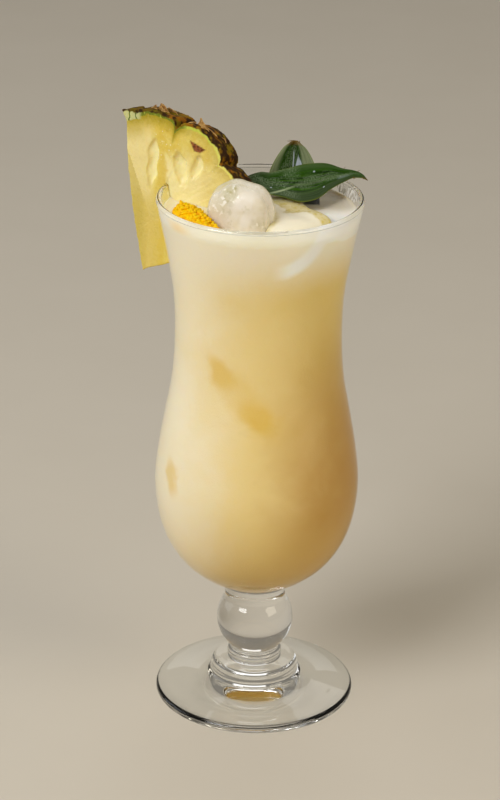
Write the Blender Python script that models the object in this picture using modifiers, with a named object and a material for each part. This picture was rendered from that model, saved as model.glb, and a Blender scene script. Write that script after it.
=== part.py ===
"""A pina colada in a stemmed hurricane glass, at its real size.

The glass stands on the plane Z = 0 with its stem on the Z axis, and the front is towards -Y.
It is filled with a thick cream drink up to just under the rim. A wedge of pineapple straddles
the rim at the back left, two ice pieces lie in the drink, a heap of orange zest lies against
the wall at the front left, and two pineapple leaves stand at the back right.
Sizes are millimetres in the values below and metres in the scene.
"""

import math
import random

import bmesh
import bpy
from mathutils import Matrix, Vector

MM = 0.001
GAP = 0.3                      # free space between two pieces that touch
TURN_STEPS = 44                # facets round the turned pieces

# Glass, as (radius, height) stations down the wall
RIM_HEIGHT = 207.5
LIP_RADIUS = 1.08
LIP_CENTRE = (37.9, RIM_HEIGHT - LIP_RADIUS)
LIP_STEPS = 4
OUTER_WALL = [
    (38.55, 204.5), (35.2, 188.0), (32.3, 170.0), (31.8, 152.0), (32.85, 136.0), (35.55, 121.0),
    (38.0, 107.0), (39.4, 93.0), (38.25, 80.0), (34.85, 69.0), (29.1, 60.0), (21.1, 53.0),
    (14.0, 49.2), (11.9, 44.5),
]
INNER_WALL = [
    (36.5, 204.5), (33.1, 188.0), (30.2, 170.0), (29.6, 152.0), (30.55, 136.0), (33.2, 121.0),
    (35.6, 107.0), (36.9, 93.0), (35.7, 80.0), (32.1, 69.0), (25.9, 60.6), (16.0, 55.0),
    (7.0, 53.4),
]
BOWL_FLOOR_HEIGHT = 53.2
BALL_CENTRE_HEIGHT = 32.0
BALL_RADIUS = 15.0
BALL_TOP_ANGLE = 38.0
BALL_FOOT_ANGLE = -52.0
BALL_STEPS = 8
COLLAR_CENTRE = (9.0, 17.3)
COLLAR_RADIUS = 1.7
COLLAR_TOP_ANGLE = 70.0
COLLAR_FOOT_ANGLE = -60.0
COLLAR_STEPS = 4
BOSS = [(10.5, 15.0), (13.0, 14.6), (15.8, 14.1), (16.9, 12.5), (17.3, 10.0), (18.1, 8.7), (19.8, 7.8)]
FOOT_SHOULDER = (28.5, 5.5)
FOOT_EDGE_CENTRE = (37.4, 1.7)
FOOT_EDGE_RADIUS = 1.7
FOOT_EDGE_TOP_ANGLE = 82.0
FOOT_EDGE_STEPS = 4

# Drink
DRINK_LEVEL = 201.3

# Pineapple wedge, in its own plane: u runs outward from the stem's axis, h is the height
WEDGE_DIRECTION = 150.0        # degrees round Z of the plane's outward side
WEDGE_FRONT = 6.0              # from the radial plane to the face towards the front
WEDGE_BACK = -4.0
WEDGE_LAYERS = 4
WEDGE_TIP = (48.3, 170.3)
WEDGE_OUTER_CORNER = (57.3, 233.3)
SLICE_CENTRE = (44.0, 191.5)
SLICE_RADIUS = 43.8
RIND_END_ANGLE = 179.0
RIND_STEPS = 52
RIND_TAPER = 0.18              # how much the slice narrows for each millimetre towards its back
LOWER_CUT_SLOPE = 0.466        # fall of the lower cut towards the tip
LOWER_CUT_WAVE = 0.35
LOWER_CUT_WAVE_RATE = 0.45
OUTER_CUT_STEPS = 7
OUTER_CUT_HOLLOW = 0.9
OUTER_CUT_FLARE = 2.4          # how far the outer cut falls back just under its corner
CUT_CORNER = 1.5               # length left plain beside a corner of the cuts
SLIT_STEPS = 8
EYES = [                       # angle of the notch before the eye, its depth, and the eye's swell
    (72.0, 1.6, 0.0), (105.5, 4.6, 2.4), (137.0, 2.6, 0.9), (169.0, 2.0, 0.5), (203.0, 2.0, 0.5),
]
EYE_NOTCH_DRIFT = 0.50         # degrees that a notch moves for each millimetre of depth
EYE_NOTCH_RUN_IN = 0.09        # share of the eye over which it comes out of the notch before it
EYE_NOTCH_RUN_OUT = 0.03       # share over which it goes into the notch after it
RIND_PLAIN_HEIGHT = 202.0      # below this the rind lies in the drink and is plain
POCKETS = [                    # u, h, half width, half height, depth, lean in degrees
    (43.5, 214.5, 2.5, 10.3, 1.8, -7.0),
    (31.2, 214.4, 2.7, 6.6, 2.0, 12.0),
    (24.2, 216.2, 2.4, 5.4, 1.6, -22.0),
]
BRACT_THICKNESS = 1.3
BRACT_ROOT = 1.5               # how deep a bract's foot lies in the rind
BRACT_CURL = 0.06
BRACT_TIP_RADIUS = 0.3
BRACTS = [                     # angle round the slice, depth in it, length, width, lean in degrees
    (88.5, 3.2, 4.3, 3.6, 48.0), (92.5, 2.4, 4.6, 3.8, 30.0), (96.5, 3.4, 4.8, 4.2, 8.0),
    (99.5, 0.2, 4.0, 3.6, -25.0), (112.0, 3.2, 3.6, 3.8, 35.0), (116.5, 2.6, 4.8, 3.6, 6.0),
    (120.0, 3.6, 4.4, 4.0, -22.0), (124.5, 2.2, 4.0, 4.2, -48.0), (129.0, -0.8, 3.6, 3.8, -58.0),
]

# Ice: centre, half sizes along its own axes, turn round Z, lean, and roundness exponent
ICE_FRONT_CENTRE = (-6.9, -14.7, 205.4)
ICE_FRONT_HALF = (12.2, 9.6, 13.0)
ICE_FRONT_TURN = -30.0
ICE_FRONT_LEAN = 0.0
ICE_FRONT_POWER = 2.5
ICE_RIGHT_CENTRE = (7.6, -7.0, 192.4)
ICE_RIGHT_HALF = (13.6, 18.0, 12.4)
ICE_RIGHT_TURN = 34.0
ICE_RIGHT_LEAN = 1.0
ICE_RIGHT_POWER = 6.0
ICE_SIDE_CUTS = 5
ICE_WEAR = 0.018               # how uneven the worn faces are, as a share of the size

# Leaves, as stations along the middle: x, y, height, half width
LEAF_THICKNESS = 0.9
LEAF_COLUMNS = 7
LEAF_RIPPLE = 0.15
LEANING_LEAF = [
    (-10.5, 16.5, 201.6, 2.4), (-7.5, 15.0, 205.8, 3.0), (-4.0, 13.2, 208.6, 3.8), (0.0, 11.4, 208.6, 6.4),
    (4.0, 10.8, 208.4, 6.5), (9.0, 11.0, 208.4, 8.5), (15.0, 10.7, 208.4, 10.8), (21.0, 13.3, 208.9, 9.8),
    (26.0, 16.4, 209.4, 7.6), (31.0, 18.2, 209.6, 4.4), (35.0, 19.8, 209.8, 2.1),
    (38.5, 19.6, 209.2, 1.1), (40.4, 17.8, 208.3, 0.4),
]
LEANING_LEAF_TILT = 18.5
LEANING_LEAF_CUP = 0.10
UPRIGHT_LEAF = [
    (12.3, 27.8, 196.5, 6.8), (12.3, 27.6, 202.0, 8.7), (12.4, 27.3, 207.5, 9.2), (12.5, 27.0, 211.5, 8.1),
    (12.6, 26.5, 215.5, 6.2), (12.7, 26.0, 218.6, 4.1), (12.8, 25.6, 220.2, 2.4), (12.8, 25.3, 221.0, 1.1),
]
UPRIGHT_LEAF_CUP = 0.20

# Orange zest: a low crescent of curled shreds along the wall
ZEST_SEED = 11
ZEST_MIDDLE_ANGLE = 212.0
ZEST_HALF_ANGLE = 27.0
ZEST_RADIUS = 29.4
ZEST_HALF_WIDTH = 5.8
ZEST_HEIGHT = 5.6
ZEST_OUTER_LIMIT = 35.2
ZEST_MOUND_SHARE = 0.8         # height of the mound under the shreds, as a share of the heap's
ZEST_SHREDS = 40
ZEST_SHRED_WIDTH = 1.3
ZEST_SHRED_THICKNESS = 0.8
ZEST_SHRED_LENGTHS = (2.6, 4.2)
ZEST_SHRED_BENDS = (0.5, 1.4)
ZEST_SHRED_RISE = 0.9          # how far a shred's middle lies above the mound
ZEST_SPREAD = 0.618034         # share of the crescent from one shred to the next


def clear_scene() -> None:
    """Remove every object of the scene."""
    for thing in list(bpy.data.objects):
        bpy.data.objects.remove(thing, do_unlink=True)


def new_collection(name: str) -> bpy.types.Collection:
    """Make a collection under the scene's own."""
    group = bpy.data.collections.new(name)
    bpy.context.scene.collection.children.link(group)
    return group


def new_material(name, colour, roughness, transmission=0.0):
    """Make a Principled material of one colour."""
    finish = bpy.data.materials.new(name)
    finish.use_nodes = True
    shader = finish.node_tree.nodes["Principled BSDF"]
    shader.inputs["Base Color"].default_value = (*colour, 1.0)
    shader.inputs["Roughness"].default_value = roughness
    shader.inputs["Metallic"].default_value = 0.0
    shader.inputs["Transmission Weight"].default_value = transmission
    finish.diffuse_color = (*colour, 1.0)
    return finish


def new_object(name, mesh, group, finish=None):
    """Put a mesh in a collection as an object, with its material."""
    piece = bpy.data.objects.new(name, mesh)
    group.objects.link(piece)
    if finish is not None:
        mesh.materials.append(finish)
    return piece


def mesh_of(shape: bmesh.types.BMesh, name: str) -> bpy.types.Mesh:
    """Turn a bmesh into a mesh with its faces outward, and free it."""
    bmesh.ops.recalc_face_normals(shape, faces=shape.faces)
    mesh = bpy.data.meshes.new(name)
    shape.to_mesh(mesh)
    shape.free()
    return mesh


def metres(point) -> Vector:
    """Turn a place in millimetres into metres."""
    return Vector(point) * MM


def smooth_through(stations, steps):
    """Return points on a Catmull-Rom curve through the stations, in steps for each span."""
    first = [2.0 * a - b for a, b in zip(stations[0], stations[1])]
    last = [2.0 * a - b for a, b in zip(stations[-1], stations[-2])]
    knots = [first, *stations, last]
    points = []
    for k in range(1, len(knots) - 2):
        before, start, end, after = knots[k - 1:k + 3]
        for step in range(steps):
            t = step / steps
            points.append(tuple(
                0.5 * (2.0 * b + (c - a) * t + (2.0 * a - 5.0 * b + 4.0 * c - d) * t ** 2
                       + (3.0 * b - a - 3.0 * c + d) * t ** 3)
                for a, b, c, d in zip(before, start, end, after)))
    points.append(tuple(stations[-1]))
    return points


def arc(centre, radius, start, end, steps):
    """Return points on an arc from one angle to another, in degrees."""
    points = []
    for step in range(steps + 1):
        angle = math.radians(start + (end - start) * step / steps)
        points.append((centre[0] + radius * math.cos(angle), centre[1] + radius * math.sin(angle)))
    return points


def radius_at(wall, height):
    """Return the radius of a wall, given as points from the top down, at a height."""
    for (upper_r, upper_h), (lower_r, lower_h) in zip(wall, wall[1:]):
        if lower_h <= height <= upper_h:
            share = (height - lower_h) / (upper_h - lower_h)
            return lower_r + (upper_r - lower_r) * share
    return wall[0][0] if height > wall[0][1] else wall[-1][0]


def lip():
    """Return the rounded lip, from its inner side over the top to its outer side."""
    return arc(LIP_CENTRE, LIP_RADIUS, 180.0, 0.0, LIP_STEPS)


def outer_wall():
    """Return the bowl's outer side from the lip down to the stem."""
    return [lip()[-1], *OUTER_WALL]


def inner_wall():
    """Return the bowl's inner side from the lip down to the middle of its floor."""
    return [lip()[0], *INNER_WALL]


def glass_outline():
    """Return the glass's section from the bowl's floor, over the lip and down to the foot."""
    inside = [(0.0, BOWL_FLOOR_HEIGHT), *reversed(inner_wall())]
    ball = arc((0.0, BALL_CENTRE_HEIGHT), BALL_RADIUS, BALL_TOP_ANGLE, BALL_FOOT_ANGLE, BALL_STEPS)
    collar = arc(COLLAR_CENTRE, COLLAR_RADIUS, COLLAR_TOP_ANGLE, COLLAR_FOOT_ANGLE, COLLAR_STEPS)
    edge = arc(FOOT_EDGE_CENTRE, FOOT_EDGE_RADIUS, FOOT_EDGE_TOP_ANGLE, -90.0, FOOT_EDGE_STEPS)
    return [*inside, *lip()[1:-1], *outer_wall(), *ball, *collar, *BOSS, FOOT_SHOULDER, *edge, (0.0, 0.0)]


def drink_outline():
    """Return the drink's section: the bowl's inner side less the gap, up to the level."""
    wall = inner_wall()
    level_radius = radius_at(wall, DRINK_LEVEL) - GAP
    below = [(r, h) for r, h in wall if h < DRINK_LEVEL - 1.0]
    side = []
    for (r, h), (next_r, next_h) in zip(below, [*below[1:], (0.0, BOWL_FLOOR_HEIGHT)]):
        along = Vector((next_r - r, next_h - h)).normalized()
        side.append((r + along.y * GAP, h - along.x * GAP))
    side = [(r, h) if h > BOWL_FLOOR_HEIGHT + GAP else (r, BOWL_FLOOR_HEIGHT + GAP) for r, h in side]
    return [(0.0, DRINK_LEVEL), (level_radius, DRINK_LEVEL), *side, (0.0, BOWL_FLOOR_HEIGHT + GAP)]


def turned(name, outline, group, finish):
    """Turn an outline of (radius, height) round the Z axis with a Screw modifier."""
    mesh = bpy.data.meshes.new(name)
    corners = [(r * MM, 0.0, h * MM) for r, h in outline]
    mesh.from_pydata(corners, [(k, k + 1) for k in range(len(corners) - 1)], [])
    piece = new_object(name, mesh, group, finish)
    screw = piece.modifiers.new("Turn", "SCREW")
    screw.axis = "Z"
    screw.steps = TURN_STEPS
    screw.render_steps = TURN_STEPS
    screw.use_merge_vertices = True
    screw.merge_threshold = 0.00005
    screw.use_smooth_shade = True
    return piece


def make_mesh_real(piece):
    """Replace an object's mesh by what its modifiers make of it."""
    bpy.context.view_layer.update()
    evaluated = piece.evaluated_get(bpy.context.evaluated_depsgraph_get())
    mesh = bpy.data.meshes.new_from_object(evaluated)
    piece.modifiers.clear()
    piece.data = mesh
    return piece


def cut(piece, cutter):
    """Cut one object out of another."""
    boolean = piece.modifiers.new("Cut " + cutter.name, "BOOLEAN")
    boolean.operation = "DIFFERENCE"
    boolean.object = cutter
    boolean.solver = "EXACT"
    return boolean


def fuse(piece, group, solver="EXACT"):
    """Join every object of a collection to a piece, then remove them."""
    boolean = piece.modifiers.new("Fuse", "BOOLEAN")
    boolean.operation = "UNION"
    boolean.operand_type = "COLLECTION"
    boolean.collection = group
    boolean.solver = solver
    make_mesh_real(piece)
    for part in list(group.objects):
        bpy.data.objects.remove(part, do_unlink=True)
    bpy.data.collections.remove(group)
    keep_largest_body(piece)
    return piece


def keep_largest_body(piece):
    """Drop the loose scraps and sealed hollows of a fused mesh, keeping its main skin."""
    shape = bmesh.new()
    shape.from_mesh(piece.data)
    shape.verts.ensure_lookup_table()
    unseen = set(shape.verts)
    bodies = []
    while unseen:
        body = {unseen.pop()}
        front = list(body)
        while front:
            corner = front.pop()
            for edge in corner.link_edges:
                other = edge.other_vert(corner)
                if other in unseen:
                    unseen.remove(other)
                    body.add(other)
                    front.append(other)
        bodies.append(body)
    bodies.sort(key=len)
    scraps = [corner for body in bodies[:-1] for corner in body]
    bmesh.ops.delete(shape, geom=scraps, context="VERTS")
    shape.to_mesh(piece.data)
    shape.free()


def hide_cutter(piece):
    """Mark an object as a cutter that is not a part of the drink."""
    piece.hide_render = True
    piece.display_type = "WIRE"
    return piece


def wedge_place(u, h, depth) -> Vector:
    """Return the place in the scene of a point of the wedge's plane at a depth."""
    angle = math.radians(WEDGE_DIRECTION)
    outward = Vector((math.cos(angle), math.sin(angle), 0.0))
    forward = Vector((-math.sin(angle), -abs(math.cos(angle)), 0.0))
    return (outward * u + forward * depth + Vector((0.0, 0.0, h))) * MM


def lower_cut_height(u):
    """Return the height of the wedge's lower cut at a distance from the stem's axis."""
    return WEDGE_TIP[1] + LOWER_CUT_SLOPE * (WEDGE_TIP[0] - u)


def rind_relief(angle, depth):
    """Return how far the rind stands out at an angle round the slice and a depth in it."""
    angle -= EYE_NOTCH_DRIFT * (WEDGE_FRONT - depth)
    for (start, notch, swell), (end, next_notch, _) in zip(EYES, EYES[1:]):
        if start <= angle < end:
            share = (angle - start) / (end - start)
            rise = notch * math.exp(-share / EYE_NOTCH_RUN_IN)
            fall = next_notch * math.exp(-(1.0 - share) / EYE_NOTCH_RUN_OUT)
            return swell * math.sin(math.pi * share) - max(rise, fall)
    return 0.0


def rind_point(share, depth, grow):
    """Return a point of the rind, from the outer corner at 0 to the hidden corner at 1."""
    corner = Vector(WEDGE_OUTER_CORNER) - Vector(SLICE_CENTRE)
    start = math.degrees(math.atan2(corner.y, corner.x))
    angle = start + (RIND_END_ANGLE - start) * share
    radius = SLICE_RADIUS + (corner.length - SLICE_RADIUS) * max(0.0, 1.0 - share * 12.0)
    height = SLICE_CENTRE[1] + radius * math.sin(math.radians(angle))
    above = min(1.0, max(0.0, (height - RIND_PLAIN_HEIGHT) / 6.0))
    at_corner = min(1.0, share * 14.0)
    radius += rind_relief(angle, depth) * above * at_corner + grow
    radius -= RIND_TAPER * (WEDGE_FRONT - depth)
    return (SLICE_CENTRE[0] + radius * math.cos(math.radians(angle)),
            SLICE_CENTRE[1] + radius * math.sin(math.radians(angle)))


def outer_cut(grow):
    """Return the wedge's outer cut from its tip up, with a slight hollow in it."""
    points = []
    for step in range(OUTER_CUT_STEPS):
        share = step / OUTER_CUT_STEPS
        u = WEDGE_TIP[0] + (WEDGE_OUTER_CORNER[0] - WEDGE_TIP[0]) * share
        h = WEDGE_TIP[1] + (WEDGE_OUTER_CORNER[1] - WEDGE_TIP[1]) * share
        hollow = OUTER_CUT_HOLLOW * math.sin(share * math.pi) - OUTER_CUT_FLARE * share ** 4
        points.append((u + hollow + grow, h - grow * (1.0 - share)))
    return points


def lower_cut(start_u, end_u, steps, grow):
    """Return points along the wedge's lower cut, with a slight wave."""
    points = []
    for step in range(steps + 1):
        u = start_u + (end_u - start_u) * step / steps
        wave = LOWER_CUT_WAVE * math.sin(u * LOWER_CUT_WAVE_RATE)
        points.append((u, lower_cut_height(u) + wave - grow))
    return points


def slit_side(wall, clearance, depth):
    """Return one side of the slit for the glass's wall, from the lower cut up to the lip."""
    def place(height):
        radius = radius_at(wall, height) + clearance
        return math.sqrt(radius ** 2 - depth ** 2)

    low, high = WEDGE_TIP[1], RIM_HEIGHT
    for _ in range(30):
        middle = 0.5 * (low + high)
        if middle < lower_cut_height(place(middle)):
            low = middle
        else:
            high = middle
    top = RIM_HEIGHT - LIP_RADIUS
    heights = [low + (top - low) * step / SLIT_STEPS for step in range(SLIT_STEPS + 1)]
    return [(place(height), height) for height in heights]


def wedge_ring(depth, grow=0.0, slit=True):
    """Return the wedge's outline at a depth, from its tip round the rind and back.

    The slit that takes the glass's wall is part of the outline, so it bends with the wall.
    """
    ring = outer_cut(grow)
    ring += [rind_point(step / RIND_STEPS, depth, grow) for step in range(RIND_STEPS + 1)]
    cut_start = ring[-1][0] + CUT_CORNER
    cut_end = WEDGE_TIP[0] - 2.0 * CUT_CORNER
    if not slit:
        return ring + lower_cut(cut_start, cut_end, 8, grow)
    inside = slit_side(inner_wall(), -GAP, depth)
    outside = slit_side(outer_wall(), GAP, depth)
    ring += lower_cut(cut_start, inside[0][0] - CUT_CORNER, 7, 0.0)
    ring += inside
    ring += [(inside[-1][0] + GAP, RIM_HEIGHT + GAP), (outside[-1][0] - GAP, RIM_HEIGHT + GAP)]
    ring += outside[::-1]
    ring += lower_cut(outside[0][0] + CUT_CORNER, cut_end, 2, 0.0)
    return ring


def wedge_block(name, depths, grow, slit, group, finish=None):
    """Loft the wedge through its outlines at the given depths."""
    shape = bmesh.new()
    rings = []
    for depth in depths:
        rings.append([shape.verts.new(wedge_place(u, h, depth)) for u, h in wedge_ring(depth, grow, slit)])
    count = len(rings[0])
    for ring, following in zip(rings, rings[1:]):
        for k in range(count):
            shape.faces.new((ring[k], ring[(k + 1) % count], following[(k + 1) % count], following[k]))
    shape.faces.new(rings[0])
    shape.faces.new(rings[-1])
    bmesh.ops.recalc_face_normals(shape, faces=shape.faces)
    bmesh.ops.triangulate(shape, faces=shape.faces)
    return new_object(name, mesh_of(shape, name), group, finish)


def pocket_cutter(name, u, h, half_width, half_height, depth, lean, group):
    """Make a flattened ball that hollows one pocket out of the wedge's front face."""
    shape = bmesh.new()
    bmesh.ops.create_uvsphere(shape, u_segments=12, v_segments=8, radius=1.0)
    turn = Matrix.Rotation(math.radians(lean), 3, "Y")
    for corner in shape.verts:
        local = turn @ Vector((corner.co.x * half_width, corner.co.y * depth, corner.co.z * half_height))
        corner.co = wedge_place(u + local.x, h + local.z, WEDGE_FRONT + 0.5 * GAP + local.y)
    return hide_cutter(new_object(name, mesh_of(shape, name), group))


def bract(name, angle, depth, length, width, lean, group):
    """Make one dry bract as a flat curled point that stands out of the rind."""
    shape = bmesh.new()
    bmesh.ops.create_cone(shape, cap_ends=True, segments=6, radius1=width * 0.5,
                          radius2=BRACT_TIP_RADIUS, depth=length)
    radius = SLICE_RADIUS + rind_relief(angle, depth) - RIND_TAPER * (WEDGE_FRONT - depth) - BRACT_ROOT
    foot = Vector(arc(SLICE_CENTRE, radius, angle, angle, 1)[0])
    turn = Matrix.Rotation(math.radians(angle - 90.0 + lean), 2)
    for corner in shape.verts:
        rise = corner.co.z + length * 0.5
        local = turn @ Vector((corner.co.x + BRACT_CURL * rise ** 2, rise))
        flat = corner.co.y * BRACT_THICKNESS / width
        corner.co = wedge_place(foot.x + local.x, foot.y + local.y, depth + flat + BRACT_CURL * rise ** 2)
    return new_object(name, mesh_of(shape, name), group)


def pineapple_wedge(group, cutters, finish):
    """Make the wedge with its slit, the rind's eyes and bracts, and the flesh's pockets."""
    thickness = WEDGE_FRONT - WEDGE_BACK
    depths = [WEDGE_FRONT - thickness * k / WEDGE_LAYERS for k in range(WEDGE_LAYERS + 1)]
    wedge = wedge_block("pineapple_wedge", depths, 0.0, True, group, finish)
    bracts = new_collection("Bracts")
    for number, values in enumerate(BRACTS):
        bract(f"bract_{number}", *values, bracts)
    fuse(wedge, bracts)
    for number, values in enumerate(POCKETS):
        cut(wedge, pocket_cutter(f"pocket_{number}", *values, cutters))
    return wedge


def ice_piece(name, centre, half, turn, lean, power, grow, group, finish=None):
    """Make an ice piece as a box worn round: a cube drawn onto a rounded form."""
    shape = bmesh.new()
    bmesh.ops.create_cube(shape, size=2.0)
    bmesh.ops.subdivide_edges(shape, edges=shape.edges, cuts=ICE_SIDE_CUTS, use_grid_fill=True)
    turning = Matrix.Rotation(math.radians(turn), 3, "Z") @ Matrix.Rotation(math.radians(lean), 3, "X")
    for corner in shape.verts:
        way = corner.co.normalized()
        reach = sum(abs(value) ** power for value in way) ** (-1.0 / power)
        wave = math.sin(7.0 * way.x + 3.0 * way.z) + math.sin(9.0 * way.y - 2.0 * way.x)
        worn = 1.0 + ICE_WEAR * wave
        local = Vector([way[k] * reach * worn * (half[k] + grow) for k in range(3)])
        corner.co = metres(turning @ local + Vector(centre))
    bmesh.ops.triangulate(shape, faces=shape.faces, quad_method="FIXED")
    return new_object(name, mesh_of(shape, name), group, finish)


def ice_front(name, grow, group, finish=None):
    """Make the round ice piece that leans on the wedge."""
    return ice_piece(name, ICE_FRONT_CENTRE, ICE_FRONT_HALF, ICE_FRONT_TURN, ICE_FRONT_LEAN,
                     ICE_FRONT_POWER, grow, group, finish)


def ice_right(name, grow, group, finish=None):
    """Make the large ice piece that lies in the drink."""
    return ice_piece(name, ICE_RIGHT_CENTRE, ICE_RIGHT_HALF, ICE_RIGHT_TURN, ICE_RIGHT_LEAN,
                     ICE_RIGHT_POWER, grow, group, finish)


def leaf(name, stations, across, cup, grow, group, finish=None):
    """Make a leaf: a channelled blade along its stations, given thickness by Solidify."""
    shape = bmesh.new()
    spine = smooth_through(stations, 2)
    rows = []
    for number, (x, y, height, half_width) in enumerate(spine):
        following = spine[min(number + 1, len(spine) - 1)]
        previous = spine[max(number - 1, 0)]
        along = (Vector(following[:3]) - Vector(previous[:3])).normalized()
        face = along.cross(across).normalized()
        row = []
        for column in range(LEAF_COLUMNS):
            part = 2.0 * column / (LEAF_COLUMNS - 1) - 1.0
            lift = cup * half_width * part ** 2
            lift += LEAF_RIPPLE * part * math.sin(number)
            place = Vector((x, y, height)) + across * part * (half_width + grow) + face * lift
            if number == 0:
                place -= along * grow
            row.append(shape.verts.new(metres(place)))
        rows.append(row)
    for row, following in zip(rows, rows[1:]):
        for k in range(LEAF_COLUMNS - 1):
            shape.faces.new((row[k], row[k + 1], following[k + 1], following[k]))
    bmesh.ops.triangulate(shape, faces=shape.faces)
    mesh = bpy.data.meshes.new(name)
    shape.to_mesh(mesh)
    shape.free()
    blade = new_object(name, mesh, group, finish)
    solidify = blade.modifiers.new("Thickness", "SOLIDIFY")
    solidify.thickness = (LEAF_THICKNESS + 2.0 * grow) * MM
    solidify.offset = 0.0
    return blade


def leaning_leaf(name, grow, group, finish=None):
    """Make the leaf that lies on the rim at the back right."""
    tilt = math.radians(LEANING_LEAF_TILT)
    across = Vector((0.0, math.cos(tilt), math.sin(tilt)))
    return leaf(name, LEANING_LEAF, across, LEANING_LEAF_CUP, grow, group, finish)


def upright_leaf(name, grow, group, finish=None):
    """Make the leaf that stands in the drink behind the leaning one."""
    return leaf(name, UPRIGHT_LEAF, Vector((-1.0, 0.0, 0.0)), UPRIGHT_LEAF_CUP, grow, group, finish)


def zest_place(angle_share, width_share, height) -> Vector:
    """Return a place in the heap from its shares along and across the crescent."""
    angle = math.radians(ZEST_MIDDLE_ANGLE + ZEST_HALF_ANGLE * angle_share)
    radius = min(ZEST_RADIUS + ZEST_HALF_WIDTH * width_share, ZEST_OUTER_LIMIT)
    return Vector((radius * math.cos(angle), radius * math.sin(angle), height))


def zest_core(name, group, finish):
    """Make the low mound that the shreds lie on, flat underneath."""
    shape = bmesh.new()
    bmesh.ops.create_uvsphere(shape, u_segments=16, v_segments=10, radius=1.0)
    base = DRINK_LEVEL + GAP
    for corner in shape.verts:
        height = base + ZEST_HEIGHT * ZEST_MOUND_SHARE * max(corner.co.z, 0.0)
        corner.co = metres(zest_place(corner.co.x, corner.co.y, height))
    bmesh.ops.remove_doubles(shape, verts=shape.verts, dist=0.00002)
    return new_object(name, mesh_of(shape, name), group, finish)


def zest_shred(name, centre, turning, length, bend, group):
    """Make one curled shred: a strip of three spans bent in an arc."""
    shape = bmesh.new()
    rings = []
    for k in range(4):
        share = k / 3 - 0.5
        middle = Vector((length * share, 0.0, bend * (0.25 - share ** 2)))
        half = ZEST_SHRED_WIDTH * 0.5 * (1.0 - 0.5 * abs(share))
        ring = []
        for side, rise in ((-half, -0.5), (half, -0.5), (half, 0.5), (-half, 0.5)):
            local = middle + Vector((0.0, side, rise * ZEST_SHRED_THICKNESS))
            ring.append(shape.verts.new(metres(turning @ local + centre)))
        rings.append(ring)
    for ring, following in zip(rings, rings[1:]):
        for k in range(4):
            shape.faces.new((ring[k], ring[(k + 1) % 4], following[(k + 1) % 4], following[k]))
    shape.faces.new(rings[0])
    shape.faces.new(rings[-1])
    return new_object(name, mesh_of(shape, name), group)


def orange_zest(group, finish, ice_space):
    """Make the heap: a mound with curled shreds fused over it, cut clear of the ice."""
    draw = random.Random(ZEST_SEED)
    heap = zest_core("orange_zest", group, finish)
    shreds = new_collection("Shreds")
    for number in range(ZEST_SHREDS):
        along = -0.92 + 1.84 * ((number * ZEST_SPREAD) % 1.0)
        reach = math.sqrt(1.0 - along ** 2)
        across = draw.uniform(-0.85, 0.85) * reach
        dome = math.sqrt(max(0.0, 1.0 - along ** 2 - across ** 2))
        length = draw.uniform(*ZEST_SHRED_LENGTHS)
        height = DRINK_LEVEL + GAP + ZEST_SHRED_RISE + ZEST_HEIGHT * ZEST_MOUND_SHARE * dome
        centre = zest_place(along * 0.93, across - 0.12, height)
        turning = Matrix.Rotation(draw.uniform(0.0, math.tau), 3, "Z")
        turning = turning @ Matrix.Rotation(draw.uniform(-0.5, 0.5) * dome, 3, "Y")
        room = ZEST_OUTER_LIMIT - Vector((centre.x, centre.y)).length
        length = min(length, 2.0 * max(room, ZEST_SHRED_THICKNESS))
        zest_shred(f"shred_{number}", centre, turning, length, draw.uniform(*ZEST_SHRED_BENDS), shreds)
    fuse(heap, shreds)
    cut(heap, ice_space)
    make_mesh_real(heap)
    keep_largest_body(heap)
    return heap


def build() -> None:
    """Build the drink and its glass."""
    clear_scene()
    drink_group = new_collection("Pina colada")
    cutters = new_collection("Cutters")
    clear_glass = new_material("Clear glass", (0.90, 0.94, 0.93), 0.03, 0.9)
    cream_drink = new_material("Cream drink", (0.90, 0.76, 0.45), 0.35)
    pineapple = new_material("Pineapple", (0.86, 0.72, 0.22), 0.35)
    ice = new_material("Cloudy ice", (0.86, 0.82, 0.68), 0.12, 0.4)
    green_leaf = new_material("Green leaf", (0.05, 0.14, 0.03), 0.35)
    zest = new_material("Orange zest", (0.93, 0.50, 0.01), 0.45)

    turned("glass", glass_outline(), drink_group, clear_glass)
    drink = turned("drink", drink_outline(), drink_group, cream_drink)
    pineapple_wedge(drink_group, cutters, pineapple)
    ice_front("ice_front", 0.0, drink_group, ice)
    large_ice = ice_right("ice_right", 0.0, drink_group, ice)
    leaning_leaf("leaf_leaning", 0.0, drink_group, green_leaf)
    upright_leaf("leaf_upright", 0.0, drink_group, green_leaf)
    front_space = ice_front("ice_front_space", GAP, cutters)
    orange_zest(drink_group, zest, front_space)

    wedge_space = wedge_block("wedge_space", [WEDGE_FRONT + GAP, WEDGE_BACK - GAP], GAP, False, cutters)
    right_space = ice_right("ice_right_space", GAP, cutters)
    leaning_space = make_mesh_real(leaning_leaf("leaf_leaning_space", GAP, cutters))
    upright_space = make_mesh_real(upright_leaf("leaf_upright_space", GAP, cutters))
    spaces = [wedge_space, front_space, right_space, leaning_space, upright_space]
    for space in spaces:
        hide_cutter(space)
        cut(drink, space)
    cut(large_ice, wedge_space)
    cut(large_ice, front_space)


build()
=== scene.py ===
"""The looks of a pina colada in a stemmed hurricane glass.

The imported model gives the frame. Each piece here is built over its node at the same sizes, in
millimetres, and rides on the one body. The floor, lights and camera stand round it.
"""

from __future__ import annotations

import logging
import math
import random
from dataclasses import dataclass
from enum import Enum
from typing import Callable, Iterable, Sequence

import bmesh
import bpy
from mathutils import Matrix, Vector, noise

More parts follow.
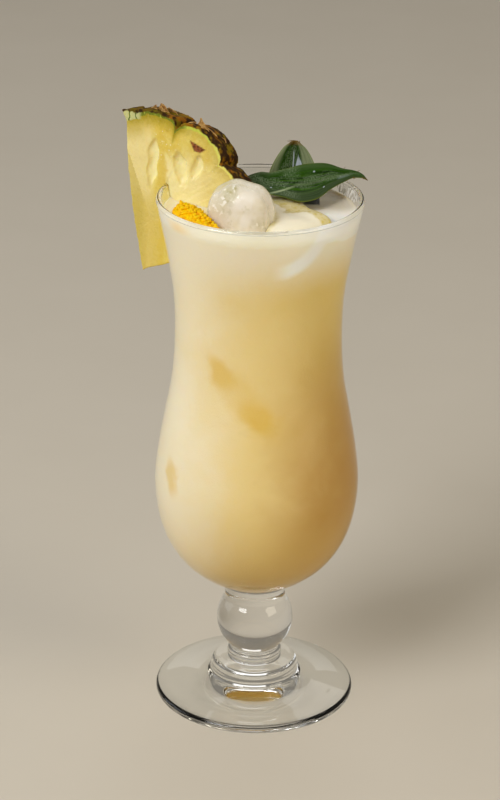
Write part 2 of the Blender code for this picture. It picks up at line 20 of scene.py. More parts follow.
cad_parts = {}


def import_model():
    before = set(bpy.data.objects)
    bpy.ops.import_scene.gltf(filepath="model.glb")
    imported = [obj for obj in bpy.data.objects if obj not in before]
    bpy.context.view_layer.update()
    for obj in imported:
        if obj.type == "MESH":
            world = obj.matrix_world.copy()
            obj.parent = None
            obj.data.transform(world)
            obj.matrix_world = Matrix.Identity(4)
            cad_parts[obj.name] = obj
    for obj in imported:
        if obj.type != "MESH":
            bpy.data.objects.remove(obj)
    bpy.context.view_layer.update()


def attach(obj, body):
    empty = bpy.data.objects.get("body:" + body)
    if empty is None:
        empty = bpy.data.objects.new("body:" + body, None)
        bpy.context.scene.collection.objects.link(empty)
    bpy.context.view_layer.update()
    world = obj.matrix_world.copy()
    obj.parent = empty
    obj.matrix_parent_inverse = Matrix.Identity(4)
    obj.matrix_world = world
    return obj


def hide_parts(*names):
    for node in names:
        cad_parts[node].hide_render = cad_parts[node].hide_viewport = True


LOG = logging.getLogger("pina_colada")
MM = 0.001

Colour = tuple[float, float, float]
Station = tuple[float, float]
Ramp = tuple[float, ...]
Grain = tuple[float, ...]
Socket = bpy.types.NodeSocket
Value = Socket | float | Colour


def photo_colour(red: int, green: int, blue: int) -> Colour:
    """Return a colour given in display steps of 0 to 255 as linear light."""
    shares = [value / 255.0 for value in (red, green, blue)]
    return tuple(s / 12.92 if s <= 0.04045 else ((s + 0.055) / 1.055) ** 2.4 for s in shares)


def smooth_through(stations: Sequence[Sequence[float]], steps: int) -> list[tuple[float, ...]]:
    """Return points on a Catmull-Rom curve through stations.

    Args:
        stations: the places to pass through, of any number of values each.
        steps: how many points to give for each span.

    Returns:
        The points, the last station among them.
    """
    first = [2.0 * a - b for a, b in zip(stations[0], stations[1])]
    last = [2.0 * a - b for a, b in zip(stations[-1], stations[-2])]
    knots = [first, *stations, last]
    points = []
    for k in range(1, len(knots) - 2):
        before, start, end, after = knots[k - 1:k + 3]
        for step in range(steps):
            t = step / steps
            points.append(tuple(
                0.5 * (2.0 * b + (c - a) * t + (2.0 * a - 5.0 * b + 4.0 * c - d) * t ** 2
                       + (3.0 * b - a - 3.0 * c + d) * t ** 3)
                for a, b, c, d in zip(before, start, end, after)))
    points.append(tuple(stations[-1]))
    return points


def arc(centre: Station, radius: float, start: float, end: float, steps: int) -> list[Station]:
    """Return points on an arc from one angle to another, in degrees."""
    angles = [math.radians(start + (end - start) * step / steps) for step in range(steps + 1)]
    return [(centre[0] + radius * math.cos(a), centre[1] + radius * math.sin(a)) for a in angles]


def value_at(line: Sequence[Station], height: float) -> float:
    """Return the radius at a height of a line of stations that runs from the top down."""
    for (upper_r, upper_h), (lower_r, lower_h) in zip(line, line[1:]):
        if lower_h <= height <= upper_h:
            share = (height - lower_h) / max(upper_h - lower_h, 1e-9)
            return lower_r + (upper_r - lower_r) * share
    return line[0][0] if height > line[0][1] else line[-1][0]


def clamp(value: float) -> float:
    """Return a value held between 0 and 1."""
    return min(1.0, max(0.0, value))


def ease(value: float, low: float, high: float) -> float:
    """Return 0 below low and 1 above high, with a soft step between."""
    share = clamp((value - low) / (high - low))
    return share * share * (3.0 - 2.0 * share)


def wander(place: Vector, size: float, seed: float = 0.0) -> float:
    """Return smooth unevenness from -1 to 1 at a place in millimetres.

    Args:
        place: the place, in millimetres.
        size: how far one hump is from the next, in millimetres.
        seed: a shift that gives another pattern.

    Returns:
        The height of the pattern there.
    """
    return noise.noise(place / size + Vector((seed, seed * 0.7, -seed)))


def from_smallest(loop: Sequence[int]) -> list[int]:
    """Return a face's loop turned to start at its smallest number, so that each run gives the same."""
    start = loop.index(min(loop))
    return [*loop[start:], *loop[:start]]


def make_object(name: str, corners: Iterable[Vector], faces: Iterable[Sequence[int]],
                finish: bpy.types.Material) -> bpy.types.Object:
    """Make an object from corners in millimetres.

    Args:
        name: the piece's name.
        corners: its corners, in millimetres.
        faces: its faces, as rows of corner numbers.
        finish: its material.

    Returns:
        The object, smooth shaded, in the scene.
    """
    mesh = bpy.data.meshes.new(name)
    mesh.from_pydata([tuple(corner[k] * MM for k in range(3)) for corner in corners], [], list(faces))
    shape = bmesh.new()
    shape.from_mesh(mesh)
    bmesh.ops.recalc_face_normals(shape, faces=shape.faces)
    shape.to_mesh(mesh)
    shape.free()
    mesh.shade_smooth()
    mesh.materials.append(finish)
    piece = bpy.data.objects.new(name, mesh)
    bpy.context.scene.collection.objects.link(piece)
    return piece


def make_real(piece: bpy.types.Object) -> None:
    """Replace an object's mesh by what its modifiers make of it."""
    bpy.context.view_layer.update()
    evaluated = piece.evaluated_get(bpy.context.evaluated_depsgraph_get())
    mesh = bpy.data.meshes.new_from_object(evaluated)
    piece.modifiers.clear()
    piece.data = mesh
    mesh.shade_smooth()


def note(piece: bpy.types.Object, name: str, kind: str, values: Sequence) -> None:
    """Write a value for each corner of a mesh, for its material to read.

    Args:
        piece: the object.
        name: the name that the material asks for.
        kind: FLOAT for plain numbers or FLOAT_VECTOR for places.
        values: one value for each corner.
    """
    held = piece.data.attributes.new(name, kind, "POINT")
    for entry, value in zip(held.data, values):
        if kind == "FLOAT":
            entry.value = value
        else:
            entry.vector = value


def turned(name: str, outline: Sequence[Station], facets: int,
           finish: bpy.types.Material) -> bpy.types.Object:
    """Turn an outline of (radius, height) round the Z axis.

    Args:
        name: the piece's name.
        outline: the section, both ends on the axis.
        facets: how many steps there are round the axis.
        finish: the piece's material.

    Returns:
        The turned object.
    """
    corners: list[Vector] = []
    rings: list[list[int]] = []
    for radius, height in outline:
        count = 1 if radius < 1e-6 else facets
        rings.append(list(range(len(corners), len(corners) + count)))
        for k in range(count):
            angle = math.tau * k / facets
            corners.append(Vector((radius * math.cos(angle), radius * math.sin(angle), height)))
    faces = []
    for ring, following in zip(rings, rings[1:]):
        for k in range(facets):
            after = (k + 1) % facets
            loop = [ring[k % len(ring)], ring[after % len(ring)],
                    following[after % len(following)], following[k % len(following)]]
            face = list(dict.fromkeys(loop))
            if len(face) > 2:
                faces.append(face)
    return make_object(name, corners, faces, finish)


class Sheet:
    """The node tree of one finish, with short calls for the nodes that the finishes use."""

    def __init__(self, name: str) -> None:
        """Start a material with its Principled shader."""
        self.material = bpy.data.materials.new(name)
        self.material.use_nodes = True
        self.nodes = self.material.node_tree.nodes
        self.links = self.material.node_tree.links
        self.shader = self.nodes["Principled BSDF"]

    def node(self, kind: str, **settings: object) -> bpy.types.Node:
        """Add a shader node of a kind, with its settings."""
        made = self.nodes.new("ShaderNode" + kind)
        for name, value in settings.items():
            setattr(made, name, value)
        return made

    def put(self, socket: Socket, value: Value) -> None:
        """Link a socket into another, or set its plain value."""
        if isinstance(value, bpy.types.NodeSocket):
            self.links.new(value, socket)
        elif socket.type == "RGBA":
            socket.default_value = (*value, 1.0)
        else:
            socket.default_value = value

    def set(self, **values: Value) -> None:
        """Set or link the shader's own sockets, named with _ for each space."""
        for name, value in values.items():
            self.put(self.shader.inputs[name.replace("_", " ")], value)

    def place(self) -> Socket:
        """Return the place on the piece, in millimetres."""
        coordinates = self.node("TexCoord")
        scaled = self.node("VectorMath", operation="SCALE")
        self.put(scaled.inputs[0], coordinates.outputs["Object"])
        scaled.inputs["Scale"].default_value = 1.0 / MM
        return scaled.outputs["Vector"]

    def stretched(self, place: Socket, shares: Colour) -> Socket:
        """Return a place with each of its values multiplied."""
        made = self.node("VectorMath", operation="MULTIPLY")
        self.put(made.inputs[0], place)
        made.inputs[1].default_value = shares
        return made.outputs["Vector"]

    def parts(self, place: Socket) -> list[Socket]:
        """Return the three values of a place."""
        made = self.node("SeparateXYZ")
        self.put(made.inputs[0], place)
        return list(made.outputs)

    def joined(self, x: Value, y: Value, z: Value) -> Socket:
        """Return three values as a place."""
        made = self.node("CombineXYZ")
        for socket, value in zip(made.inputs, (x, y, z)):
            self.put(socket, value)
        return made.outputs[0]

    def noted(self, name: str, output: str = "Fac") -> Socket:
        """Return a value that the mesh holds for its corners."""
        return self.node("Attribute", attribute_name=name).outputs[output]

    def maths(self, operation: str, first: Value, second: Value = 0.0) -> Socket:
        """Return what an operation makes of one or two values."""
        made = self.node("Math", operation=operation)
        self.put(made.inputs[0], first)
        self.put(made.inputs[1], second)
        return made.outputs[0]

    def times(self, first: Value, *others: Value) -> Socket:
        """Return values multiplied with one another."""
        for other in others:
            first = self.maths("MULTIPLY", first, other)
        return first

    def plus(self, first: Value, second: Value) -> Socket:
        """Return the sum of two values."""
        return self.maths("ADD", first, second)

    def minus(self, first: Value, second: Value) -> Socket:
        """Return a value less another."""
        return self.maths("SUBTRACT", first, second)

    def most(self, first: Value, second: Value) -> Socket:
        """Return the larger of two values."""
        return self.maths("MAXIMUM", first, second)

    def apart(self, first: Value, second: Value) -> Socket:
        """Return how far two values lie apart."""
        return self.maths("ABSOLUTE", self.minus(first, second))

    def sway(self, pattern: Value, reach: float) -> Socket:
        """Return a pattern of 0 to 1 as a sway to both sides of 0."""
        return self.times(self.minus(pattern, 0.5), reach)

    def step(self, value: Value, low: Value, high: Value, start: Value = 0.0, end: Value = 1.0) -> Socket:
        """Return a soft step from start, at low, to end, at high."""
        made = self.node("MapRange", interpolation_type="SMOOTHSTEP")
        for socket, number in zip(made.inputs, (value, low, high, start, end)):
            self.put(socket, number)
        return made.outputs[0]

    def grain(self, place: Socket, size: float, detail: float = 2.0, rough: float = 0.5,
              bent: float = 0.0) -> Socket:
        """Return smooth unevenness from 0 to 1, with humps of a size in millimetres."""
        made = self.node("TexNoise")
        self.put(made.inputs["Vector"], place)
        for name, number in (("Scale", 1.0 / size), ("Detail", detail), ("Roughness", rough),
                             ("Distortion", bent)):
            made.inputs[name].default_value = number
        return made.outputs[0]

    def cells(self, place: Socket, size: float) -> Socket:
        """Return the distance from the middle of cells of a size in millimetres."""
        made = self.node("TexVoronoi")
        self.put(made.inputs["Vector"], place)
        made.inputs["Scale"].default_value = 1.0 / size
        return made.outputs["Distance"]

    def blend(self, share: Value, first: Value, second: Value) -> Socket:
        """Return a colour between two others."""
        made = self.node("Mix", data_type="RGBA")
        self.put(made.inputs["Factor"], share)
        self.put(made.inputs[6], first)
        self.put(made.inputs[7], second)
        return made.outputs[2]

    def bump(self, height: Value, depth: float, before: Socket | None = None) -> Socket:
        """Return the surface's normal with a relief of a depth in millimetres."""
        made = self.node("Bump")
        made.inputs["Distance"].default_value = depth * MM
        self.put(made.inputs["Height"], height)
        if before is not None:
            self.put(made.inputs["Normal"], before)
        return made.outputs[0]

    def opened(self, tint: Colour) -> bpy.types.Material:
        """Let shadow rays and matt light straight through the surface, and return the material."""
        ray = self.node("LightPath")
        passing = self.most(ray.outputs["Is Shadow Ray"], ray.outputs["Is Diffuse Ray"])
        clear = self.node("BsdfTransparent")
        self.put(clear.inputs["Color"], tint)
        mix = self.node("MixShader")
        self.put(mix.inputs[0], passing)
        self.put(mix.inputs[1], self.shader.outputs[0])
        self.put(mix.inputs[2], clear.outputs[0])
        self.put(self.nodes["Material Output"].inputs["Surface"], mix.outputs[0])
        return self.material


@dataclass(frozen=True)
class ClearGlass:
    """Clear pressed glass that lets the lights through to what it holds."""

    tint: Colour = (0.982, 0.99, 0.988)
    refraction: float = 1.5
    wave_size: float = 24.0
    wave_depth: float = 0.02

    def material(self) -> bpy.types.Material:
        """Make the glass, open to lamps and to light from matt surfaces."""
        sheet = Sheet("clear_glass")
        sheet.set(Base_Color=self.tint, Roughness=0.0, IOR=self.refraction, Transmission_Weight=1.0,
                  Normal=sheet.bump(sheet.grain(sheet.place(), self.wave_size), self.wave_depth))
        return sheet.opened(self.tint)


@dataclass(frozen=True)
class SunkMark:
    """The mark of a sunk ice piece that presses on the wall.

    Its middle is given by the angle round the glass, in degrees, and the height.
    """

    angle: float
    height: float
    half_length: float
    half_width: float
    lean: float
    wall_radius: float
    strength: float


@dataclass(frozen=True)
class CreamDrink:
    """The thick cream drink: golden cream below, partly painted shade, whiter foam above, with marks of sunk
    ice.

    Sides are distances along X, ends along Y and heights along Z, in millimetres.
    """

    # Painted light makes the left colour pale; the right and low colours are partly the cream's golden tone
    # and partly painted shade.
    left: Colour = photo_colour(243, 230, 199)
    middle: Colour = photo_colour(235, 210, 142)
    right: Colour = photo_colour(230, 200, 106)
    right_low_shade: Colour = photo_colour(193, 145, 54)
    low: Colour = photo_colour(209, 166, 68)
    foam: Colour = photo_colour(241, 229, 200)
    foam_right: Colour = photo_colour(249, 240, 218)
    mark: Colour = photo_colour(226, 190, 92)
    pale: Colour = photo_colour(254, 250, 240)
    zest_tint: Colour = photo_colour(246, 196, 120)
    shade: Colour = photo_colour(198, 186, 162)
    # A painted dark shadow on the surface under the leaf.
    hollow: Colour = photo_colour(16, 16, 2)
    cloud: Grain = (26.0, 3.0, 0.55, 0.4)
    cloud_reach: float = 26.0
    middle_sides: Ramp = (-36.0, 0.0)
    right_sides: Ramp = (-6.0, 36.0)
    right_heights: Ramp = (182.0, 110.0)
    front_ends: Ramp = (34.0, 0.0, 0.3, 1.0)
    low_heights: Ramp = (104.0, 56.0, 0.0, 0.75)
    low_sides: Ramp = (-32.0, 0.0, 0.3, 1.0)
    foam_bottoms: Station = (174.0, 177.0)
    foam_tops: Station = (199.0, 200.0)
    foam_sides: Station = (-26.0, 16.0)
    foam_right_sides: Ramp = (0.0, 18.0)
    white_sides: Ramp = (19.0, 26.0)
    white_edge: Ramp = (196.8, 198.0)
    white_lift: Ramp = (33.0, 24.0, 0.0, 2.6)
    marks: tuple[SunkMark, ...] = (
        SunkMark(-102.0, 139.0, 21.0, 7.0, -47.0, 30.8, 0.4),
        SunkMark(-117.5, 147.5, 7.5, 4.6, -50.0, 30.4, 0.75),
        SunkMark(-89.0, 131.5, 9.0, 4.6, -35.0, 31.4, 0.85),
        SunkMark(-148.0, 101.0, 7.5, 3.4, -75.0, 36.4, 0.6),
    )
    mark_edge: Ramp = (1.3, 0.4, 0.0)
    mark_bend: Grain = (9.0, 2.0)
    mark_turn: float = 0.22
    mark_rise: float = 14.0
    arc_angle: float = -80.8
    arc_height: float = 209.6
    arc_radius: float = 19.4
    arc_edges: Ramp = (4.3, 1.3)
    arc_sides: Ramp = (-2.0, 8.0)
    wall_radius: float = 36.0
    zest_angle: float = -143.0
    zest_reach: float = 14.0
    zest_strength: float = 0.55
    zest_height: float = 203.2
    zest_heights: Ramp = (3.0, 0.5)
    shade_sides: Ramp = (10.0, 17.0)
    shade_ends: Ramp = (-3.0, 8.0)
    shade_heights: Ramp = (200.0, 200.6, 0.0, 0.85)
    leaf_shadow_heights: Ramp = (199.5, 200.2)
    leaf_shadow_sides: tuple[float, float, float, float] = (14.5, 17.5, 22.1, 22.7)
    leaf_shadow_ends: tuple[float, float, float, float] = (7.6, 10.4, 18.0, 21.0)
    froth_size: float = 0.9
    froth_depth: float = 0.04
    froth_roughness: Ramp = (0.0, 0.8, 0.35, 0.5)
    swell: Grain = (3.0, 3.0)
    swell_depth: float = 0.12

    def mark_share(self, sheet: Sheet, spot: SunkMark, angle: Value, height: Value) -> Socket:
        """Return how strongly one sunk piece shows at an angle and height on the wall."""
        aside = sheet.times(sheet.minus(angle, math.radians(spot.angle)), spot.wall_radius)
        above = sheet.minus(height, spot.height)
        lean = math.radians(spot.lean)
        ends = []
        for first, second, half in ((math.cos(lean), math.sin(lean), spot.half_length),
                                    (-math.sin(lean), math.cos(lean), spot.half_width)):
            total = sheet.plus(sheet.times(aside, first / half), sheet.times(above, second / half))
            ends.append(sheet.times(total, total))
        reach = sheet.maths("SQRT", sheet.plus(*ends))
        return sheet.step(reach, *self.mark_edge, spot.strength)

    def arc_share(self, sheet: Sheet, angle: Value, height: Value) -> Socket:
        """Return the share of the pale arc that the large ice leaves on the wall."""
        aside = sheet.times(sheet.minus(angle, math.radians(self.arc_angle)), self.wall_radius)
        above = sheet.minus(height, self.arc_height)
        reach = sheet.maths("SQRT", sheet.plus(*[sheet.times(part, part) for part in (aside, above)]))
        return sheet.times(sheet.step(sheet.apart(reach, self.arc_radius), *self.arc_edges),
                           sheet.step(aside, *self.arc_sides))

    def body_colour(self, sheet: Sheet, place: Socket, height: Value) -> Socket:
        """Return the cream's colour, with painted light at the left and more golden low down and at the
        right, partly the cream's own tone and partly painted shade.
        """
        x, y, z = sheet.parts(place)
        front = sheet.step(y, *self.front_ends)
        across = sheet.plus(x, sheet.sway(sheet.grain(place, *self.cloud), self.cloud_reach))
        # Painted light at the left, then painted shade at the right and low down over the cream's own gold.
        colour = sheet.blend(sheet.step(across, *self.middle_sides), self.left, self.middle)
        right = sheet.blend(sheet.step(z, *self.right_heights), self.right, self.right_low_shade)
        colour = sheet.blend(sheet.times(sheet.step(across, *self.right_sides), front), colour, right)
        low = sheet.times(sheet.step(z, *self.low_heights), sheet.step(x, *self.low_sides), front)
        colour = sheet.blend(low, colour, self.low)
        bottom = sheet.step(x, *self.foam_sides, *self.foam_bottoms)
        top = sheet.step(x, *self.foam_sides, *self.foam_tops)
        foam = sheet.blend(sheet.step(x, *self.foam_right_sides), self.foam, self.foam_right)
        colour = sheet.blend(sheet.step(height, bottom, top), colour, foam)
        lifted = sheet.minus(height, sheet.step(x, *self.white_lift))
        white = sheet.times(sheet.step(x, *self.white_sides), sheet.step(lifted, *self.white_edge))
        return sheet.blend(white, colour, self.pale)

    def film_colour(self, sheet: Sheet, place: Socket, angle: Value, colour: Value) -> Socket:
        """Return the colour with the zest's tint on the film, painted shade on the surface at the right and a
        painted dark shadow on the surface under the leaf.
        """
        x, y, z = sheet.parts(place)
        away = sheet.apart(angle, math.radians(self.zest_angle))
        tint = sheet.times(sheet.step(away, math.radians(self.zest_reach), 0.0, 0.0, self.zest_strength),
                           sheet.step(sheet.apart(z, self.zest_height), *self.zest_heights))
        colour = sheet.blend(tint, colour, self.zest_tint)
        # Painted shade on the surface at the right.
        shaded = sheet.times(sheet.step(x, *self.shade_sides), sheet.step(y, *self.shade_ends),
                             sheet.step(z, *self.shade_heights))
        colour = sheet.blend(shaded, colour, self.shade)
        # A painted dark shadow on the surface under the leaf.
        share = sheet.step(z, *self.leaf_shadow_heights)
        for value, (start, full, fading, end) in ((x, self.leaf_shadow_sides), (y, self.leaf_shadow_ends)):
            share = sheet.times(share, sheet.step(value, start, full), sheet.step(value, end, fading))
        return sheet.blend(share, colour, self.hollow)

    def material(self) -> bpy.types.Material:
        """Make the drink's material."""
        sheet = Sheet("cream_drink")
        place = sheet.place()
        x, y, z = sheet.parts(place)
        bent = sheet.sway(sheet.grain(place, *self.mark_bend), self.mark_turn)
        round_wall = sheet.maths("ARCTAN2", y, x)
        angle = sheet.plus(round_wall, bent)
        height = sheet.plus(z, sheet.times(bent, self.mark_rise))
        colour = self.body_colour(sheet, place, height)
        for spot in self.marks:
            colour = sheet.blend(self.mark_share(sheet, spot, angle, height), colour, self.mark)
        colour = sheet.blend(self.arc_share(sheet, round_wall, z), colour, self.pale)
        colour = self.film_colour(sheet, place, round_wall, colour)
        froth = sheet.cells(place, self.froth_size)
        relief = sheet.bump(sheet.grain(place, *self.swell), self.swell_depth,
                            sheet.bump(froth, self.froth_depth))
        sheet.set(Base_Color=colour, Roughness=sheet.step(froth, *self.froth_roughness), Normal=relief,
                  Subsurface_Weight=0.55, Subsurface_Scale=4.0 * MM, Subsurface_Radius=(1.0, 0.8, 0.5),
                  IOR=1.38, Specular_IOR_Level=0.4)
        return sheet.material


@dataclass(frozen=True)
class PineappleFinish:
    """Wet pale yellow flesh with fibres, under a green and brown rind.

    Sides are distances outward from the stem's axis and heights are above the table, both in the
    wedge's own plane. Depths are measured in from the rind. All are in millimetres.
    """

    flesh: Colour = photo_colour(226, 206, 106)
    gold: Colour = photo_colour(218, 188, 68)
    core: Colour = photo_colour(236, 219, 154)
    pale: Colour = photo_colour(246, 236, 180)
    creamy: Colour = photo_colour(242, 228, 162)
    low: Colour = photo_colour(219, 195, 102)
    olive: Colour = photo_colour(172, 152, 28)
    green_line: Colour = photo_colour(112, 124, 16)
    bright_line: Colour = photo_colour(196, 204, 74)
    inner_line: Colour = photo_colour(232, 224, 116)
    # The pockets' pale colour is partly the flesh's own and partly painted light against their shade; the
    # next colour is painted shade along their rims.
    hollow: Colour = photo_colour(252, 238, 172)
    crease_shade: Colour = photo_colour(202, 176, 52)
    pale_green: Colour = photo_colour(196, 196, 132)
    groove: Colour = photo_colour(82, 104, 20)
    rind_dark: Colour = photo_colour(50, 27, 0)
    rind_brown: Colour = photo_colour(142, 90, 0)
    rind_green: Colour = photo_colour(118, 98, 0)
    rind_olive: Colour = photo_colour(86, 72, 0)
    # Painted glints of wet drops on the flesh.
    flesh_glint: Colour = photo_colour(253, 250, 232)
    spot: Colour = photo_colour(150, 84, 36)
    spot_dark: Colour = photo_colour(96, 44, 16)
    fibre_turn: float = 0.8
    fibre_reach: float = 0.11
    fibre_grain: Grain = (1.0, 3.0, 0.6)
    fibre_edges: Ramp = (0.5, 0.85, 0.0, 0.22)
    fibre_depth: float = 0.1
    cloud: Grain = (6.0, 3.0, 0.6, 0.5)
    cloud_reach: float = 9.0
    gold_clouds: Ramp = (0.38, 0.68, 0.0, 0.8)
    creamy_heights: Ramp = (224.5, 212.5)
    creamy_sides: Ramp = (42.0, 36.0)
    creamy_foot: Ramp = (197.0, 202.0)
    creamy_inner: Ramp = (15.0, 26.0, 0.45, 1.0)
    core_sides: Ramp = (41.5, 45.5, 0.0, 0.85)
    low_heights: Ramp = (209.0, 195.0)
    low_sides: Ramp = (36.0, 42.0)
    low_strength: float = 0.85
    # The gold band is painted shade along a ridge down the front, in the flesh's golden tone.
    gold_band: float = 39.2
    gold_band_edges: Ramp = (2.4, 0.5, 0.0, 0.6)
    gold_depths: Ramp = (12.0, 4.0, 0.0, 0.7)
    gold_sides: Ramp = (26.0, 36.0)
    shaded_depths: Ramp = (14.0, 7.0, 0.0, 0.45)
    shaded_sides: Ramp = (45.0, 50.0)
    crease_start: Ramp = (0.0, 0.25)
    crease_end: Ramp = (0.8, 0.3, 0.0, 0.2)
    hollow_edges: Ramp = (0.1, 1.0)
    flesh_glint_size: float = 1.3
    flesh_glint_edges: Ramp = (0.24, 0.12)
    flesh_glint_patches: Grain = (5.0, 2.0)
    flesh_glint_shares: Ramp = (0.50, 0.62, 0.0, 0.6)
    flesh_glint_heights: Ramp = (213.0, 217.0)
    flesh_glint_sides: Ramp = (44.0, 40.0)
    skin_patches: Grain = (5.0, 3.0, 0.6, 0.5)
    skin_edges: Ramp = (0.40, 0.60)
    skin_olive_sides: Ramp = (34.0, 42.0, 0.0, 0.8)
    skin_dark: Grain = (2.6, 3.0)
    skin_dark_sides: Ramp = (27.0, 19.0, 0.0, 0.12)
    skin_dark_edges: Ramp = (0.48, 0.64)
    skin_depths: Ramp = (1.5, 0.9)
    line_green_sides: Ramp = (31.0, 27.0)
    line_patches: Grain = (2.4, 2.0)
    line_edges: Ramp = (0.56, 0.68)
    line_inner_sides: Ramp = (20.0, 12.0)
    line_depths: Ramp = (2.7, 2.0)
    olive_depths: Ramp = (7.5, 2.6)
    olive_sides: Ramp = (25.0, 33.0, 0.35, 1.0)
    corner_sides: Ramp = (48.0, 50.0)
    corner_depths: Ramp = (4.6, 3.6)
    groove_turns: float = 1.9
    groove_sway: float = 5.0
    groove_edges: Ramp = (0.65, 0.95)
    uneven: Grain = (4.4, 2.0)
    uneven_fine: float = 1.5
    uneven_depth: float = 3.0
    spot_grain: Grain = (0.9, 3.0)
    spot_edges: Ramp = (0.42, 0.6)
    wet: Grain = (1.3, 3.0, 0.6)
    wet_depth: float = 0.22
    wet_roughness: Ramp = (0.3, 0.8, 0.2, 0.5)
    drop_size: float = 1.7
    drop_edges: Ramp = (0.26, 0.1)
    drop_depth: float = 0.1
    skin_roughness: float = 0.75
    flesh_coat: float = 0.35

    def flesh_colour(self, sheet: Sheet, place: Socket, u: Value, h: Value) -> Socket:
        """Return the flesh's colour, from its pale core to the golden part under the rind, with painted shade
        in a golden band down the front and in the outer corner.
        """
        fibres = sheet.grain(sheet.joined(sheet.times(sheet.noted("turn"), self.fibre_turn),
                                          sheet.times(sheet.noted("reach"), self.fibre_reach), 0.0),
                             *self.fibre_grain)
        cloud = sheet.grain(place, *self.cloud)
        sway = sheet.sway(cloud, self.cloud_reach)
        across, above = sheet.plus(u, sway), sheet.plus(h, sway)
        colour = sheet.blend(sheet.step(cloud, *self.gold_clouds), self.flesh, self.gold)
        creamy = sheet.times(sheet.step(above, *self.creamy_heights), sheet.step(across, *self.creamy_sides),
                             sheet.step(h, *self.creamy_foot), sheet.step(u, *self.creamy_inner))
        colour = sheet.blend(creamy, colour, self.creamy)
        colour = sheet.blend(sheet.step(u, *self.core_sides), colour, self.core)
        low = sheet.times(sheet.step(above, *self.low_heights), sheet.step(across, *self.low_sides),
                          self.low_strength)
        colour = sheet.blend(low, colour, self.low)
        colour = sheet.blend(sheet.step(fibres, *self.fibre_edges), colour, self.pale)
        # Painted shade in a golden band down the front.
        band = sheet.step(sheet.apart(across, self.gold_band), *self.gold_band_edges)
        colour = sheet.blend(band, colour, self.gold)
        depth = sheet.noted("rind")
        # The golden part under the rind, then painted shade in the outer corner.
        for depths, sides, tone in ((self.gold_depths, self.gold_sides, self.gold),
                                    (self.shaded_depths, self.shaded_sides, self.olive)):
            colour = sheet.blend(sheet.times(sheet.step(depth, *depths), sheet.step(u, *sides)), colour, tone)
        return self.pocket_colour(sheet, place, u, h, colour)

    def pocket_colour(self, sheet: Sheet, place: Socket, u: Value, h: Value, colour: Value) -> Socket:
        """Return the flesh's colour with the pale pockets, partly painted light, painted shade along their
        creases and painted glints over them.
        """
        pocket = sheet.noted("pocket")
        # Painted shade along the pockets' rims, then their pale colour, partly painted light.
        crease_shade = sheet.times(sheet.step(pocket, *self.crease_start), sheet.step(pocket, *self.crease_end))
        colour = sheet.blend(crease_shade, colour, self.crease_shade)
        colour = sheet.blend(sheet.step(pocket, *self.hollow_edges), colour, self.hollow)
        # Painted glints of wet drops, in patches near the top.
        flesh_glints = sheet.times(sheet.step(sheet.cells(place, self.flesh_glint_size), *self.flesh_glint_edges),
                             sheet.step(sheet.grain(place, *self.flesh_glint_patches), *self.flesh_glint_shares))
        tops = sheet.times(sheet.step(h, *self.flesh_glint_heights), sheet.step(u, *self.flesh_glint_sides))
        return sheet.blend(sheet.times(flesh_glints, tops), colour, self.flesh_glint)

    def line_colour(self, sheet: Sheet, place: Socket, u: Value) -> Socket:
        """Return the colour of the green line between the flesh and the rind."""
        line = sheet.blend(sheet.step(u, *self.line_green_sides), self.green_line, self.bright_line)
        patches = sheet.step(sheet.grain(place, *self.line_patches), *self.line_edges)
        line = sheet.blend(patches, line, self.bright_line)
        return sheet.blend(sheet.step(u, *self.line_inner_sides), line, self.inner_line)

    def skin_colour(self, sheet: Sheet, place: Socket, u: Value) -> Socket:
        """Return the rind's outer colour, in dark, brown and green patches."""
        patches = sheet.step(sheet.grain(place, *self.skin_patches), *self.skin_edges)
        skin = sheet.blend(patches, self.rind_green, self.rind_brown)
        skin = sheet.blend(sheet.step(u, *self.skin_olive_sides), skin, self.rind_olive)
        dark = sheet.plus(sheet.grain(place, *self.skin_dark), sheet.step(u, *self.skin_dark_sides))
        return sheet.blend(sheet.step(dark, *self.skin_dark_edges), skin, self.rind_dark)

    def material(self) -> bpy.types.Material:
        """Make the wedge's material."""
        sheet = Sheet("pineapple")
        place = sheet.place()
        u, h, _ = sheet.parts(sheet.noted("slice", "Vector"))
        uneven = sheet.plus(sheet.minus(sheet.grain(place, *self.uneven), 0.5),
                            sheet.sway(sheet.grain(place, self.uneven_fine), 0.5))
        rind = sheet.plus(sheet.noted("rind"), sheet.times(uneven, self.uneven_depth))
        colour = self.flesh_colour(sheet, place, u, h)
        zone = sheet.times(sheet.step(rind, *self.olive_depths), sheet.step(u, *self.olive_sides))
        colour = sheet.blend(zone, colour, self.olive)
        line = self.line_colour(sheet, place, u)
        colour = sheet.blend(sheet.step(rind, *self.line_depths), colour, line)
        wave = sheet.plus(sheet.times(u, self.groove_turns), sheet.times(uneven, self.groove_sway))
        grooves = sheet.step(sheet.maths("SINE", wave), *self.groove_edges)
        lobes = sheet.times(sheet.step(u, *self.corner_sides), sheet.step(rind, *self.corner_depths))
        colour = sheet.blend(lobes, colour, sheet.blend(grooves, self.pale_green, self.groove))
        skin = sheet.step(rind, *self.skin_depths)
        colour = sheet.blend(skin, colour, self.skin_colour(sheet, place, u))
        spotted = sheet.step(sheet.grain(place, *self.spot_grain), *self.spot_edges)
        colour = sheet.blend(sheet.noted("spot"), colour, sheet.blend(spotted, self.spot, self.spot_dark))
        wet = sheet.grain(place, *self.wet)
        drops = sheet.step(sheet.cells(place, self.drop_size), *self.drop_edges)
        relief = sheet.bump(sheet.noted("fibre"), self.fibre_depth, sheet.bump(drops, self.drop_depth))
        rough = sheet.most(sheet.step(wet, *self.wet_roughness), sheet.times(skin, self.skin_roughness))
